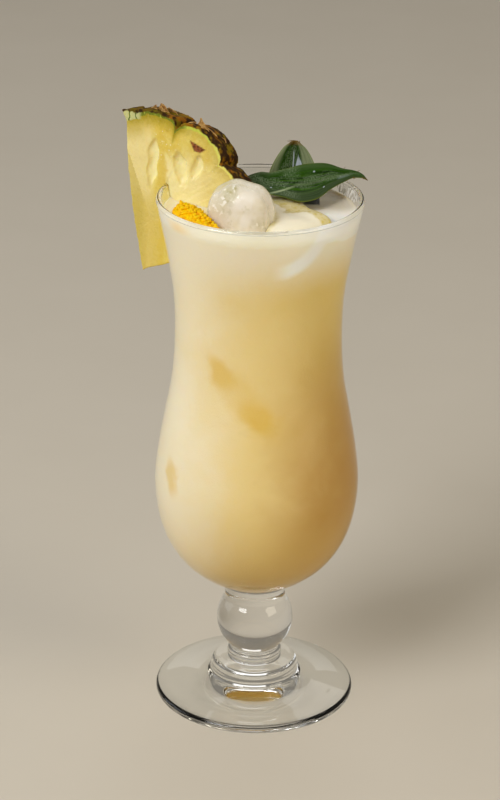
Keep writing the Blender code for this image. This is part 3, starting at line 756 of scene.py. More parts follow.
        sheet.set(Base_Color=colour, Normal=sheet.bump(wet, self.wet_depth, relief), Roughness=rough,
                  Subsurface_Weight=0.45, Subsurface_Scale=3.0 * MM, Subsurface_Radius=(1.0, 0.85, 0.35),
                  Coat_Weight=sheet.times(sheet.minus(1.0, skin), self.flesh_coat),
                  Coat_Roughness=0.12, IOR=1.38, Specular_IOR_Level=0.3)
        return sheet.material


@dataclass(frozen=True)
class DryBractFinish:
    """Dry papery flake, straw coloured with brown margins."""

    light: Colour = photo_colour(210, 168, 98)
    dark: Colour = photo_colour(136, 84, 24)

    def material(self) -> bpy.types.Material:
        """Make the flakes' material."""
        sheet = Sheet("dry_bract")
        place = sheet.place()
        share = sheet.step(sheet.grain(place, 1.4, 3.0, 0.7), 0.42, 0.68)
        sheet.set(Base_Color=sheet.blend(share, self.light, self.dark), Roughness=0.7,
                  Normal=sheet.bump(sheet.grain(place, 0.5, 2.0), 0.15))
        return sheet.material


@dataclass(frozen=True)
class FoamStreakFinish:
    """White foam left in streaks on the wall."""

    foam: Colour = photo_colour(246, 242, 236)
    thin: Colour = photo_colour(228, 222, 212)

    def material(self) -> bpy.types.Material:
        """Make the streaks' material."""
        sheet = Sheet("foam_streaks")
        place = sheet.place()
        sheet.set(Base_Color=sheet.blend(sheet.grain(place, 1.0, 3.0), self.foam, self.thin),
                  Roughness=0.35, Normal=sheet.bump(sheet.cells(place, 0.5), 0.04),
                  Subsurface_Weight=0.4, Subsurface_Scale=1.0 * MM, Subsurface_Radius=(1.0, 0.9, 0.8))
        return sheet.material


@dataclass(frozen=True)
class ClearIce:
    """The clear wet outside of an ice piece, worn smooth in soft facets, with a painted pale rim light
    towards its outline.
    """

    tint: Colour = (0.985, 0.985, 0.965)
    # A painted pale rim light.
    edge: Colour = photo_colour(222, 212, 172)
    refraction: float = 1.16

    def material(self) -> bpy.types.Material:
        """Make the clear ice, open to lamps and to light from matt surfaces."""
        sheet = Sheet("clear_ice")
        place = sheet.place()
        relief = sheet.bump(sheet.cells(place, 6.5), 0.25, sheet.bump(sheet.grain(place, 3.0, 2.0), 0.12))
        facing = sheet.node("LayerWeight").outputs["Facing"]
        # Towards grazing angles the colour turns to the painted pale rim light, and less light goes through.
        sheet.set(Base_Color=sheet.blend(sheet.step(facing, 0.35, 0.85), self.tint, self.edge),
                  Roughness=0.12, Specular_IOR_Level=0.15, IOR=self.refraction, Normal=relief,
                  Transmission_Weight=sheet.step(facing, 0.35, 0.85, 1.0, 0.3))
        return sheet.opened(self.tint)


@dataclass(frozen=True)
class IceFinish:
    """Cloudy ice, milky with clearer flecks, filmed with drink where it has been under, with painted glints
    where it is clearer.
    """

    name: str
    milk: Colour
    milk_dark: Colour
    film: Colour
    vein: Colour
    film_level: float
    film_run: float
    roughness: float
    coat: float
    glint_share: float
    glint: Colour = photo_colour(250, 246, 240)

    def material(self) -> bpy.types.Material:
        """Make the ice's material."""
        sheet = Sheet(self.name)
        place = sheet.place()
        _, _, height = sheet.parts(place)
        cloud = sheet.grain(place, 9.0, 3.0, 0.5, 0.4)
        colour = sheet.blend(sheet.step(cloud, 0.38, 0.66), self.milk, self.milk_dark)
        flecks = sheet.step(sheet.grain(place, 1.4, 3.0, 0.6), 0.50, 0.62)
        veins = sheet.times(sheet.step(sheet.grain(place, 5.0, 2.0), 0.50, 0.64), flecks)
        colour = sheet.blend(sheet.times(veins, 0.3), colour, self.vein)
        ragged = sheet.plus(height, sheet.times(cloud, 4.0))
        filmed = sheet.most(sheet.noted("film"),
                            sheet.step(ragged, self.film_level + self.film_run, self.film_level))
        colour = sheet.blend(filmed, colour, self.film)
        speckled = sheet.times(sheet.noted("band"), sheet.step(flecks, 0.0, 1.0, 0.6, 1.0))
        colour = sheet.blend(speckled, colour, self.vein)
        # Painted glints where the ice is clearer.
        glints = sheet.times(sheet.step(sheet.grain(place, 1.7, 2.0), 0.58, 0.66),
                             sheet.step(sheet.noted("band"), 0.1, 0.4, 0.0, self.glint_share))
        colour = sheet.blend(glints, colour, self.glint)
        relief = sheet.bump(sheet.grain(place, 4.0, 2.0), 0.15)
        sheet.set(Base_Color=colour, Normal=relief, IOR=1.31, Roughness=self.roughness,
                  Specular_IOR_Level=0.25,
                  Subsurface_Weight=0.8, Subsurface_Scale=6.0 * MM, Subsurface_Radius=(1.0, 0.95, 0.85),
                  Coat_Weight=self.coat, Coat_Roughness=0.12)
        return sheet.material


@dataclass(frozen=True)
class LeafFinish:
    """Green leaf with long veins, a fine grey bloom and paler margins, with painted shade at its foot, a
    painted highlight streak, a painted highlight patch and painted glints of drops.
    """

    green: Colour = photo_colour(48, 84, 4)
    dark: Colour = photo_colour(14, 34, 4)
    side: Colour = photo_colour(30, 66, 0)
    near_side: Colour = photo_colour(12, 42, 0)
    bloom: Colour = photo_colour(118, 134, 106)
    pale: Colour = photo_colour(150, 160, 124)
    margin: Colour = photo_colour(112, 124, 40)
    # A light streak along the leaning leaf's fold, partly a painted highlight.
    rib_highlight: Colour = photo_colour(168, 182, 140)
    # A painted highlight, in a patch on the upright leaf and on the few drops of the leaning one.
    wet: Colour = photo_colour(196, 206, 222)
    dry: Colour = photo_colour(124, 82, 32)
    rib_start: float = 18.0
    rib_across: float = -0.95
    rib_slope: float = 0.09
    drops: tuple[Station, ...] = ((0.57, 35.2), (-0.5, 39.6), (-0.35, 18.7))
    sheen_strips: tuple[tuple[float, float, float, float], ...] = (
        (-0.25, 0.18, 4.8, 6.0), (0.02, 0.045, 2.4, 3.0),
    )

    def rib_share(self, sheet: Sheet, across: Value, run: Value) -> Socket:
        """Return the share of the light streak, partly a painted highlight, which shows where the blade comes
        out of the drink.
        """
        drift = sheet.times(sheet.minus(run, self.rib_start), self.rib_slope)
        middle = sheet.maths("MINIMUM", sheet.plus(drift, self.rib_across), 0.0)
        away = sheet.apart(across, middle)
        along = sheet.times(sheet.step(run, self.rib_start - 2.0, self.rib_start + 3.0),
                            sheet.step(run, self.rib_start + 12.0, self.rib_start + 4.0, 0.12, 1.0))
        return sheet.times(sheet.step(away, 0.12, 0.02), along)

    def sheen_share(self, sheet: Sheet, across: Value, from_tip: Value, streaks: Value) -> Socket:
        """Return the share of the painted highlight patch, in two strips that start under the tip and widen.
        """
        shares = []
        for middle, widest, top, widening in self.sheen_strips:
            away = sheet.apart(across, middle)
            half = sheet.step(from_tip, top, top + widening, 0.0, widest)
            ragged = sheet.sway(streaks, 0.12)
            shares.append(sheet.step(sheet.minus(sheet.plus(away, ragged), half), 0.0, -0.04))
        both = sheet.times(sheet.most(*shares), sheet.step(from_tip, 13.5, 12.0))
        return sheet.times(both, sheet.step(streaks, 0.28, 0.46))

    def drop_glint_share(self, sheet: Sheet, blade: Socket) -> Value:
        """Return the share of the painted glints of the few small drops on the blade."""
        share = 0.0
        for across, run in self.drops:
            apart = sheet.node("VectorMath", operation="DISTANCE")
            sheet.put(apart.inputs[0], sheet.stretched(blade, (8.0, 0.8, 0.0)))
            apart.inputs[1].default_value = (across * 8.0, run * 0.8, 0.0)
            share = sheet.most(share, sheet.step(apart.outputs["Value"], 0.45, 0.2))
        return share

    def material(self) -> bpy.types.Material:
        """Make the leaves' material."""
        sheet = Sheet("green_leaf")
        blade = sheet.noted("blade", "Vector")
        across, run, from_tip = sheet.parts(blade)
        upright = sheet.noted("side")
        leaning = sheet.minus(1.0, upright)
        streaks = sheet.grain(sheet.stretched(blade, (9.0, 0.06, 0.0)), 1.0, 3.0, 0.6)
        patches = sheet.grain(sheet.stretched(blade, (1.6, 0.08, 0.0)), 1.0, 3.0, 0.6)
        fine = sheet.grain(sheet.stretched(blade, (24.0, 1.8, 0.0)), 1.0, 3.0, 0.7)
        edge = sheet.maths("ABSOLUTE", across)
        colour = sheet.blend(sheet.step(streaks, 0.35, 0.65), self.dark, self.green)
        colour = sheet.blend(sheet.step(edge, 0.35, 0.8, 0.0, 0.9), colour, self.side)
        near_side = sheet.times(sheet.step(across, -0.3, -0.7), leaning)
        colour = sheet.blend(near_side, colour, self.near_side)
        # Painted shade on the leaning leaf's foot, where it goes down behind the ice.
        foot = sheet.times(sheet.step(run, 21.0, 15.0, 0.0, 0.7), leaning)
        colour = sheet.blend(foot, colour, self.dark)
        bloom = sheet.times(sheet.step(patches, 0.36, 0.56), sheet.step(fine, 0.44, 0.62))
        low = sheet.times(sheet.step(run, 31.0, 25.0), sheet.step(across, -0.96, -0.85))
        middle = sheet.times(sheet.step(edge, 0.7, 0.3), sheet.step(across, -0.45, -0.1))
        bloom = sheet.times(bloom, sheet.most(low, middle))
        colour = sheet.blend(sheet.times(bloom, 0.95), colour, self.bloom)
        aside = sheet.minus(edge, sheet.times(across, 0.25))
        side = sheet.times(sheet.step(aside, 0.42, 0.66), upright)
        side = sheet.times(side, sheet.step(streaks, 0.3, 0.6, 0.6, 1.0))
        colour = sheet.blend(sheet.times(side, 0.8), colour, self.pale)
        # A light streak, partly a painted highlight, where the blade comes out of the drink.
        rib_highlight = sheet.times(self.rib_share(sheet, across, run), leaning)
        colour = sheet.blend(sheet.times(rib_highlight, 0.8), colour, self.rib_highlight)
        # A painted highlight patch on the upright leaf.
        wet = sheet.times(self.sheen_share(sheet, across, from_tip, streaks), upright)
        colour = sheet.blend(sheet.times(wet, 0.8), colour, self.wet)
        # Painted glints of the few drops on the leaning leaf.
        drops = sheet.times(self.drop_glint_share(sheet, blade), sheet.times(leaning, 0.8))
        colour = sheet.blend(drops, colour, self.wet)
        colour = sheet.blend(sheet.step(edge, 0.95, 0.995, 0.0, 0.6), colour, self.margin)
        colour = sheet.blend(sheet.step(from_tip, 2.4, 0.4, 0.0, 0.6), colour, self.dry)
        relief = sheet.bump(fine, 0.04, sheet.bump(streaks, 0.1))
        sheet.set(Base_Color=colour, Roughness=sheet.step(patches, 0.35, 0.7, 0.24, 0.4), Normal=relief,
                  Specular_IOR_Level=0.02)
        return sheet.material


@dataclass(frozen=True)
class ZestFinish:
    """Moist orange zest, brighter at the cut oil cells."""

    deep: Colour = photo_colour(250, 184, 0)
    bright: Colour = photo_colour(252, 210, 0)

    def material(self) -> bpy.types.Material:
        """Make the zest's material."""
        sheet = Sheet("orange_zest")
        place = sheet.place()
        share = sheet.step(sheet.grain(place, 1.2, 2.0, 0.6), 0.35, 0.65)
        sheet.set(Base_Color=sheet.blend(share, self.deep, self.bright), Roughness=0.5,
                  Normal=sheet.bump(sheet.cells(place, 0.35), 0.04), Specular_IOR_Level=0.15,
                  Subsurface_Weight=0.3, Subsurface_Scale=0.8 * MM, Subsurface_Radius=(1.0, 0.95, 0.3))
        return sheet.material


@dataclass(frozen=True)
class FloorFinish:
    """Plain pale studio floor with a faint mottle."""

    light: Colour = (0.62, 0.57, 0.49)
    dark: Colour = (0.59, 0.54, 0.46)

    def material(self) -> bpy.types.Material:
        """Make the floor's material."""
        sheet = Sheet("studio_floor")
        share = sheet.grain(sheet.place(), 60.0, 3.0)
        sheet.set(Base_Color=sheet.blend(share, self.light, self.dark), Roughness=0.7,
                  Normal=sheet.bump(sheet.grain(sheet.place(), 1.5), 0.03))
        return sheet.material


@dataclass
class HurricaneGlass:
    """The stemmed hurricane glass, turned in one piece, with stations of (radius, height)."""

    rim_height: float = 207.5
    lip_radius: float = 1.08
    lip_middle: float = 37.9
    outer: tuple[Station, ...] = (
        (38.55, 204.5), (35.2, 188.0), (32.3, 170.0), (31.8, 152.0), (32.85, 136.0), (35.55, 121.0),
        (38.0, 107.0), (39.4, 93.0), (38.25, 80.0), (34.85, 69.0), (29.1, 60.0), (21.1, 53.0),
        (14.0, 49.2), (11.9, 44.5),
    )
    inner: tuple[Station, ...] = (
        (36.5, 204.5), (33.1, 188.0), (30.2, 170.0), (29.6, 152.0), (30.55, 136.0), (33.2, 121.0),
        (35.6, 107.0), (36.9, 93.0), (35.7, 80.0), (32.1, 69.0), (25.9, 60.6), (16.0, 55.0),
        (7.0, 53.4),
    )
    floor_height: float = 53.2
    ball_height: float = 32.0
    ball_radius: float = 15.0
    collar: Station = (9.0, 17.3)
    collar_radius: float = 1.7
    boss: tuple[Station, ...] = (
        (10.5, 15.0), (13.0, 14.6), (15.8, 14.1), (16.9, 12.5), (17.3, 10.0), (18.1, 8.7), (19.8, 7.8),
        (24.0, 6.5), (28.5, 5.5), (33.0, 4.35),
    )
    foot_edge: Station = (37.4, 1.7)
    foot_edge_radius: float = 1.7
    foot_hollow: float = 0.9
    facets: int = 168
    steps: int = 6

    def lip(self) -> list[Station]:
        """Return the rounded lip, from its inner side over the top to its outer side."""
        centre = (self.lip_middle, self.rim_height - self.lip_radius)
        return arc(centre, self.lip_radius, 180.0, 0.0, 14)

    def inner_side(self) -> list[Station]:
        """Return the bowl's inner side from the lip down to its floor."""
        return smooth_through([self.lip()[0], *self.inner, (0.0, self.floor_height)], self.steps)

    def outer_side(self) -> list[Station]:
        """Return the bowl's outer side from the lip down to the stem."""
        return smooth_through([self.lip()[-1], *self.outer], self.steps)

    def outline(self) -> list[Station]:
        """Return the whole section, from the bowl's floor over the lip to under the foot."""
        ball = arc((0.0, self.ball_height), self.ball_radius, 38.0, -52.0, 26)
        collar = arc(self.collar, self.collar_radius, 70.0, -60.0, 10)
        edge = arc(self.foot_edge, self.foot_edge_radius, 82.0, -90.0, 14)
        under = [(34.0, 0.0), (31.0, 0.25 * self.foot_hollow), (26.0, 0.7 * self.foot_hollow),
                 (18.0, self.foot_hollow), (9.0, self.foot_hollow), (0.0, self.foot_hollow)]
        return [*reversed(self.inner_side()), *self.lip()[1:-1], *self.outer_side(), *ball, *collar,
                *smooth_through(self.boss, self.steps), *edge, *smooth_through(under, 3)]

    def build(self, finish: bpy.types.Material) -> bpy.types.Object:
        """Turn the glass and put it for its node."""
        piece = turned("hurricane_glass", self.outline(), self.facets, finish)
        return stand_for(piece, "clear_glass", "glass")


def stand_for(piece: bpy.types.Object, slot: str, *nodes: str) -> bpy.types.Object:
    """Let a piece ride on the body and, where nodes are given, replace them."""
    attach(piece, "root")
    if nodes:
        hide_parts(*nodes)
    return piece


@dataclass
class Drink:
    """The drink up to its level, with the foam that clings to the wall above it in front.

    It reaches a little into the wall, so that no air shows.
    """

    level: float = 201.3
    into_wall: float = 0.4
    edge_rise: float = 0.9
    edge_run: float = 1.3
    foam_height: float = 0.22
    rings: int = 46
    facets: int = 336
    film_start: float = -178.0
    film_end: float = 2.0
    film_run: float = 9.0
    film_top: float = 206.15
    film_wave: float = 0.35
    film_thickness: float = 0.3
    film_rings: int = 9

    def outline(self, glass: HurricaneGlass) -> list[Station]:
        """Return the drink's section from the middle of its surface to its floor."""
        wall = glass.inner_side()
        edge = value_at(wall, self.level) - self.film_thickness
        top = []
        for step in range(self.rings + 1):
            radius = edge * math.sin(0.5 * math.pi * step / self.rings)
            top.append((radius, self.level + self.edge_rise * math.exp(-(edge - radius) / self.edge_run)))
        film = [(edge, self.level)] * (self.film_rings + 1)
        below = [(r, h) for r, h in wall if h < self.level - 0.5]
        side = []
        for (r, h), (next_r, next_h) in zip(below, [*below[1:], (0.0, glass.floor_height)]):
            along = Vector((next_r - r, next_h - h)).normalized()
            side.append((max(r - along.y * self.into_wall, 0.0), h + along.x * self.into_wall))
        return [*top, *film, *side[:-1], (0.0, glass.floor_height - self.into_wall)]

    def film_height(self, angle: float) -> float:
        """Return how high the foam reaches up the wall at an angle in degrees."""
        share = (ease(angle, self.film_start, self.film_start + self.film_run)
                 * (1.0 - ease(angle, self.film_end - self.film_run, self.film_end)))
        way = Vector((math.cos(math.radians(angle)), math.sin(math.radians(angle)), 0.0))
        wave = self.film_wave * (wander(way * 37.0, 7.0, 5.0) + 0.25 * wander(way * 37.0, 2.2, 9.0))
        low = self.level + self.edge_rise + 0.1
        return low + (self.film_top - low + wave) * share

    def build(self, glass: HurricaneGlass, finish: bpy.types.Material) -> bpy.types.Object:
        """Turn the drink, raise its film up the wall and give its surface the foam's unevenness."""
        piece = turned("cream_drink", self.outline(glass), self.facets, finish)
        wall = glass.inner_side()
        for number, corner in enumerate(piece.data.vertices):
            ring, step = divmod(number - 1, self.facets)
            ring -= self.rings
            if ring < 0:
                place = corner.co / MM
                corner.co.z += self.foam_height * MM * (wander(place, 7.0) + 0.4 * wander(place, 2.4, 3.0))
            elif ring <= self.film_rings:
                angle = 360.0 * step / self.facets
                angle -= 360.0 if angle > 180.0 else 0.0
                share = min(1.0, (ring + 1) / self.film_rings)
                low = self.level + self.edge_rise
                height = low + (self.film_height(angle) - low) * share
                radius = value_at(wall, height)
                if ring == self.film_rings:
                    radius += self.into_wall
                else:
                    radius -= self.film_thickness * (1.0 - 0.6 * share ** 2)
                turn = math.radians(angle)
                corner.co = Vector((radius * math.cos(turn), radius * math.sin(turn), height)) * MM
        return stand_for(piece, "cream_drink", "drink")


def add_patches(corners: list[Vector], faces: list[Sequence[int]], inner: Sequence[Sequence[Vector]],
                outer: Sequence[Sequence[Vector]], kept: Callable[[int, int], bool]) -> None:
    """Add closed patches between two surfaces, over the kept cells that have others beside them.

    Args:
        corners: the mesh's corners so far.
        faces: the mesh's faces so far.
        inner: rows of places on one surface.
        outer: rows of places on the other.
        kept: tells for the row and column of a cell whether it is kept.
    """
    numbers: dict[tuple[int, int, int], int] = {}

    def number(side: int, row: int, column: int) -> int:
        """Return the number of a corner, adding it when it is new."""
        key = (side, row, column)
        if key not in numbers:
            numbers[key] = len(corners)
            corners.append((inner, outer)[side][row][column])
        return numbers[key]

    rows, columns = len(inner) - 1, len(inner[0]) - 1
    cells = {(r, c) for r in range(rows) for c in range(columns) if kept(r, c)}
    cells = {(r, c) for r, c in cells
             if sum(spot in cells for spot in ((r - 1, c), (r, c + 1), (r + 1, c), (r, c - 1))) > 1}
    for r, c in sorted(cells):
        loop = [(r, c), (r, c + 1), (r + 1, c + 1), (r + 1, c)]
        faces.append([number(0, *spot) for spot in loop])
        faces.append([number(1, *spot) for spot in reversed(loop)])
        beyond = [(r - 1, c), (r, c + 1), (r + 1, c), (r, c - 1)]
        for k, other in enumerate(beyond):
            if other not in cells:
                start, end = loop[k], loop[(k + 1) % 4]
                faces.append([number(0, *end), number(0, *start), number(1, *start), number(1, *end)])


@dataclass
class FoamStreaks:
    """Thin streaks of foam left on the inside of the wall at the back right."""

    start: float = 7.0
    end: float = 38.0
    bottom: float = 202.4
    top: float = 206.3
    thickness: float = 0.06
    into_wall: float = 0.06
    columns: int = 160
    rows: int = 24
    streak_size: float = 0.8
    least: float = 0.05

    def surface(self, glass: HurricaneGlass, inward: float) -> list[list[Vector]]:
        """Return rows of places at a distance inward from the wall."""
        wall = glass.inner_side()
        rows = []
        for row in range(self.rows + 1):
            height = self.bottom + (self.top - self.bottom) * row / self.rows
            radius = value_at(wall, height) - inward
            angles = [math.radians(self.start + (self.end - self.start) * column / self.columns)
                      for column in range(self.columns + 1)]
            rows.append([Vector((radius * math.cos(a), radius * math.sin(a), height)) for a in angles])
        return rows

    def build(self, glass: HurricaneGlass, finish: bpy.types.Material) -> bpy.types.Object:
        """Make the streaks as one piece."""
        corners: list[Vector] = []
        faces: list[Sequence[int]] = []
        inner, outer = self.surface(glass, self.thickness), self.surface(glass, -self.into_wall)

        def covered(row: int, column: int) -> bool:
            """Tell whether a streak covers a cell, fewer towards the ends."""
            place = inner[row][column]
            upright = Vector((place.x, place.y, place.z * 0.22))
            share = column / self.columns
            fade = ease(share, 0.0, 0.2) * (1.0 - ease(share, 0.8, 1.0)) * ease(row, 0, 4)
            return wander(upright, self.streak_size, 7.0) * fade > self.least

        add_patches(corners, faces, inner, outer, covered)
        return stand_for(make_object("foam_streaks", corners, faces, finish), "cream_drink")


@dataclass
class PineappleWedge:
    """The wedge on the rim. Its own plane has u outward from the stem's axis and h for height."""

    direction: float = 150.0
    front: float = 6.0
    back: float = -4.0
    tip: Station = (48.3, 170.3)
    outer_corner: Station = (57.3, 233.3)
    centre: Station = (44.0, 191.5)
    radius: float = 43.8
    rind_end: float = 179.0
    rind_steps: int = 150
    taper: float = 0.18
    lower_slope: float = 0.466
    into_wall: float = 0.25
    layers: int = 20
    voxel: float = 0.45
    eyes: tuple[tuple[float, float, float], ...] = (
        (72.0, 1.6, 0.0), (105.5, 4.6, 2.4), (137.0, 2.6, 0.9), (169.0, 2.0, 0.5), (203.0, 2.0, 0.5),
    )
    notch_drift: float = 0.50
    run_in: float = 0.09
    run_out: float = 0.03
    plain_height: float = 202.0
    pockets: tuple[tuple[float, ...], ...] = (
        (43.5, 214.5, 2.5, 10.3, 1.8, -7.0), (31.2, 214.4, 2.7, 6.6, 2.0, 12.0),
        (24.2, 216.2, 2.4, 5.4, 1.6, -22.0),
    )
    pocket_sway: float = 0.8
    brown_spot: tuple[Station, ...] = ((27.1, 226.3), (20.3, 223.8), (22.7, 222.2), (25.3, 222.5))

    def axes(self) -> tuple[Vector, Vector]:
        """Return the outward direction and the one towards the front."""
        angle = math.radians(self.direction)
        return (Vector((math.cos(angle), math.sin(angle), 0.0)),
                Vector((-math.sin(angle), -abs(math.cos(angle)), 0.0)))

    def place(self, u: float, h: float, depth: float) -> Vector:
        """Return the place of a point of the wedge's plane at a depth."""
        outward, forward = self.axes()
        return outward * u + forward * depth + Vector((0.0, 0.0, h))

    def relief(self, angle: float, depth: float) -> float:
        """Return how far the rind stands out, with its eyes and the notches between them.

        Args:
            angle: the angle round the slice, in degrees.
            depth: the depth in the wedge.

        Returns:
            The height over the plain rind, below 0 in a notch.
        """
        angle -= self.notch_drift * (self.front - depth)
        for (start, notch, swell), (end, next_notch, _) in zip(self.eyes, self.eyes[1:]):
            if start <= angle < end:
                share = (angle - start) / (end - start)
                rise = notch * math.exp(-share / self.run_in)
                fall = next_notch * math.exp(-(1.0 - share) / self.run_out)
                return swell * math.sin(math.pi * share) - max(rise, fall)
        return 0.0

    def start_angle(self) -> float:
        """Return the angle of the outer corner round the slice."""
        corner = Vector(self.outer_corner) - Vector(self.centre)
        return math.degrees(math.atan2(corner.y, corner.x))

    def rind_radius(self, angle: float, depth: float) -> float:
        """Return the slice's radius at an angle and a depth, with its eyes."""
        corner = Vector(self.outer_corner) - Vector(self.centre)
        start = self.start_angle()
        share = (angle - start) / (self.rind_end - start)
        radius = self.radius + (corner.length - self.radius) * max(0.0, 1.0 - share * 12.0)
        height = self.centre[1] + radius * math.sin(math.radians(angle))
        above = clamp((height - self.plain_height) / 6.0)
        radius += self.relief(angle, depth) * above * min(1.0, max(0.0, share) * 14.0)
        return radius - self.taper * (self.front - depth)

    def rind(self, depth: float) -> list[Station]:
        """Return the rind's line from the outer corner to the hidden one."""
        start = self.start_angle()
        points = []
        for step in range(self.rind_steps + 1):
            angle = start + (self.rind_end - start) * step / self.rind_steps
            points += arc(self.centre, self.rind_radius(angle, depth), angle, angle, 1)[:1]
        return points

    def lower_height(self, u: float) -> float:
        """Return the height of the lower cut at a distance from the stem's axis."""
        return self.tip[1] + self.lower_slope * (self.tip[0] - u)

    def lower_cut(self, start: float, end: float, steps: int) -> list[Station]:
        """Return points along the lower cut, with a slight wave."""
        points = []
        for step in range(steps + 1):
            u = start + (end - start) * step / steps
            points.append((u, self.lower_height(u) + 0.35 * math.sin(u * 0.45)))
        return points

    def outer_cut(self) -> list[Station]:
        """Return the outer cut from the tip up, with a slight hollow in it."""
        points = []
        for step in range(14):
            share = step / 14
            u = self.tip[0] + (self.outer_corner[0] - self.tip[0]) * share
            h = self.tip[1] + (self.outer_corner[1] - self.tip[1]) * share
            points.append((u + 0.9 * math.sin(share * math.pi) - 2.4 * share ** 4, h))
        return points

    def slit_side(self, wall: Sequence[Station], clearance: float, depth: float,
                  top: float) -> list[Station]:
        """Return one side of the slit for the wall, from the lower cut up to the lip.

        Args:
            wall: the side of the glass that it follows.
            clearance: how far out of that side it lies.
            depth: the depth in the wedge.
            top: the height that it ends at.

        Returns:
            Its points, from the lowest up.
        """
        def reach(height: float) -> float:
            """Return how far out the slit's side lies at a height."""
            return math.sqrt((value_at(wall, height) + clearance) ** 2 - depth ** 2)

        low, high = self.tip[1], top
        for _ in range(30):
            middle = 0.5 * (low + high)
            if middle < self.lower_height(reach(middle)):
                low = middle
            else:
                high = middle
        heights = [low + (top - low) * step / 16 for step in range(17)]
        return [(reach(height), height) for height in heights]

    def ring(self, glass: HurricaneGlass, depth: float) -> list[Station]:
        """Return the wedge's outline at a depth, with the slit in it."""
        top = glass.rim_height - glass.lip_radius
        inside = self.slit_side(glass.inner_side(), self.into_wall, depth, top)
        outside = self.slit_side(glass.outer_side(), -self.into_wall, depth, top)
        points = self.outer_cut() + self.rind(depth)
        points += self.lower_cut(points[-1][0] + 1.5, inside[0][0] - 1.5, 12)
        points += inside
        points += [(inside[-1][0] + 0.3, glass.rim_height - self.into_wall),
                   (outside[-1][0] - 0.3, glass.rim_height - self.into_wall)]
        points += outside[::-1]
        points += self.lower_cut(outside[0][0] + 1.5, self.tip[0] - 3.0, 4)
        return points

    def blank(self, glass: HurricaneGlass, finish: bpy.types.Material) -> bpy.types.Object:
        """Loft the wedge through its outlines, and even out its mesh."""
        corners: list[Vector] = []
        rings = []
        for layer in range(self.layers + 1):
            depth = self.front + (self.back - self.front) * layer / self.layers
            ring = self.ring(glass, depth)
            rings.append(range(len(corners), len(corners) + len(ring)))
            corners += [self.place(u, h, depth) for u, h in ring]
        faces: list[Sequence[int]] = [list(rings[0]), list(rings[-1])]
        for ring, following in zip(rings, rings[1:]):
            for k in range(len(ring)):
                after = (k + 1) % len(ring)
                faces.append((ring[k], ring[after], following[after], following[k]))
        piece = make_object("pineapple_wedge_flesh", corners, faces, finish)
        remesh = piece.modifiers.new("Even mesh", "REMESH")
        remesh.mode = "VOXEL"
        remesh.voxel_size = self.voxel * MM
        make_real(piece)
        return piece

    def pocket_depth(self, u: float, h: float) -> tuple[float, float]:
        """Return how deep a pocket is at a point of the front, and how near its middle it is.

        Args:
            u: how far the point lies from the stem's axis.
            h: the point's height.

        Returns:
            The depth, and a share that is 1 in the pocket's middle and 0 at its rim.
        """
        deepest, nearest = 0.0, 0.0
        for middle_u, middle_h, half_width, half_height, depth, lean in self.pockets:
            turn = math.radians(-lean)
            sway = Vector((u, h, half_height))
            side = u - middle_u + self.pocket_sway * wander(sway, 3.6)
            rise = h - middle_h + self.pocket_sway * wander(sway, 3.0, 6.0)
            across = (side * math.cos(turn) + rise * math.sin(turn)) / half_width
            along = (-side * math.sin(turn) + rise * math.cos(turn)) / half_height
            reach = across ** 2 + along ** 2
            if reach < 1.3:
                deepest = max(deepest, depth * (1.0 - ease(reach, 0.0, 1.3)))
                nearest = max(nearest, 1.0 - ease(reach, 0.2, 1.2))
        return deepest, nearest

    def in_spot(self, u: float, h: float) -> float:
        """Return 1 inside the brown spot, fading to 0 just outside it."""
        nearest = 9.0
        count = len(self.brown_spot)
        for k in range(count):
            start, end = Vector(self.brown_spot[k]), Vector(self.brown_spot[(k + 1) % count])
            along = (end - start).normalized()
            nearest = min(nearest, (h - start.y) * along.x - (u - start.x) * along.y)
        return ease(nearest, -0.35, 0.25)

    def carve(self, piece: bpy.types.Object) -> None:
        """Give the flesh its fibres and pockets and the rind its bumps, and note them for the finish."""
        outward, forward = self.axes()
        held: dict[str, list] = {name: [] for name in
                                 ("slice", "rind", "turn", "reach", "pocket", "spot", "fibre")}
        normals = [corner.normal.copy() for corner in piece.data.vertices]
        for corner, normal in zip(piece.data.vertices, normals):
            place = corner.co / MM
            u, h, depth = place.dot(outward), place.z, place.dot(forward)
            side, rise = u - self.centre[0], h - self.centre[1]
            angle = math.degrees(math.atan2(rise, side)) % 360.0
            reach = math.hypot(side, rise)
            under = 9.0
            if self.start_angle() - 4.0 <= angle <= self.rind_end + 1.0:
                under = self.rind_radius(angle, depth) - reach
            facing = normal.dot(forward)
            flat = ease(abs(facing), 0.5, 0.9)
            pocket, pocket_share = self.pocket_depth(u, h) if facing > 0.3 else (0.0, 0.0)
            turn = math.radians(angle) * max(reach, 8.0)
            fibre = noise.noise(Vector((math.radians(angle) * 26.0, reach * 0.12, depth * 0.2)))
            move = 0.14 * wander(place, 5.0) + 0.12 * fibre * flat
            if under < 1.2:
                move += (1.0 - flat) * (0.4 * wander(place, 3.2, 2.0) + 0.2 * wander(place, 1.4, 5.0))
            corner.co += (normal * move - forward * pocket * flat) * MM
            held["slice"].append((u, h, depth))
            held["rind"].append(under)
            held["turn"].append(turn)
            held["reach"].append(reach)
            held["pocket"].append(pocket_share)
            held["spot"].append(self.in_spot(u, h) * flat if facing > 0.3 else 0.0)
            held["fibre"].append(0.5 + 0.5 * fibre)
        for name, values in held.items():
            note(piece, name, "FLOAT_VECTOR" if name == "slice" else "FLOAT", values)

    def build(self, glass: HurricaneGlass, finish: bpy.types.Material) -> bpy.types.Object:
        """Make the wedge with its rind and flesh."""
        piece = self.blank(glass, finish)
        self.carve(piece)
        return stand_for(piece, "pineapple", "pineapple_wedge")


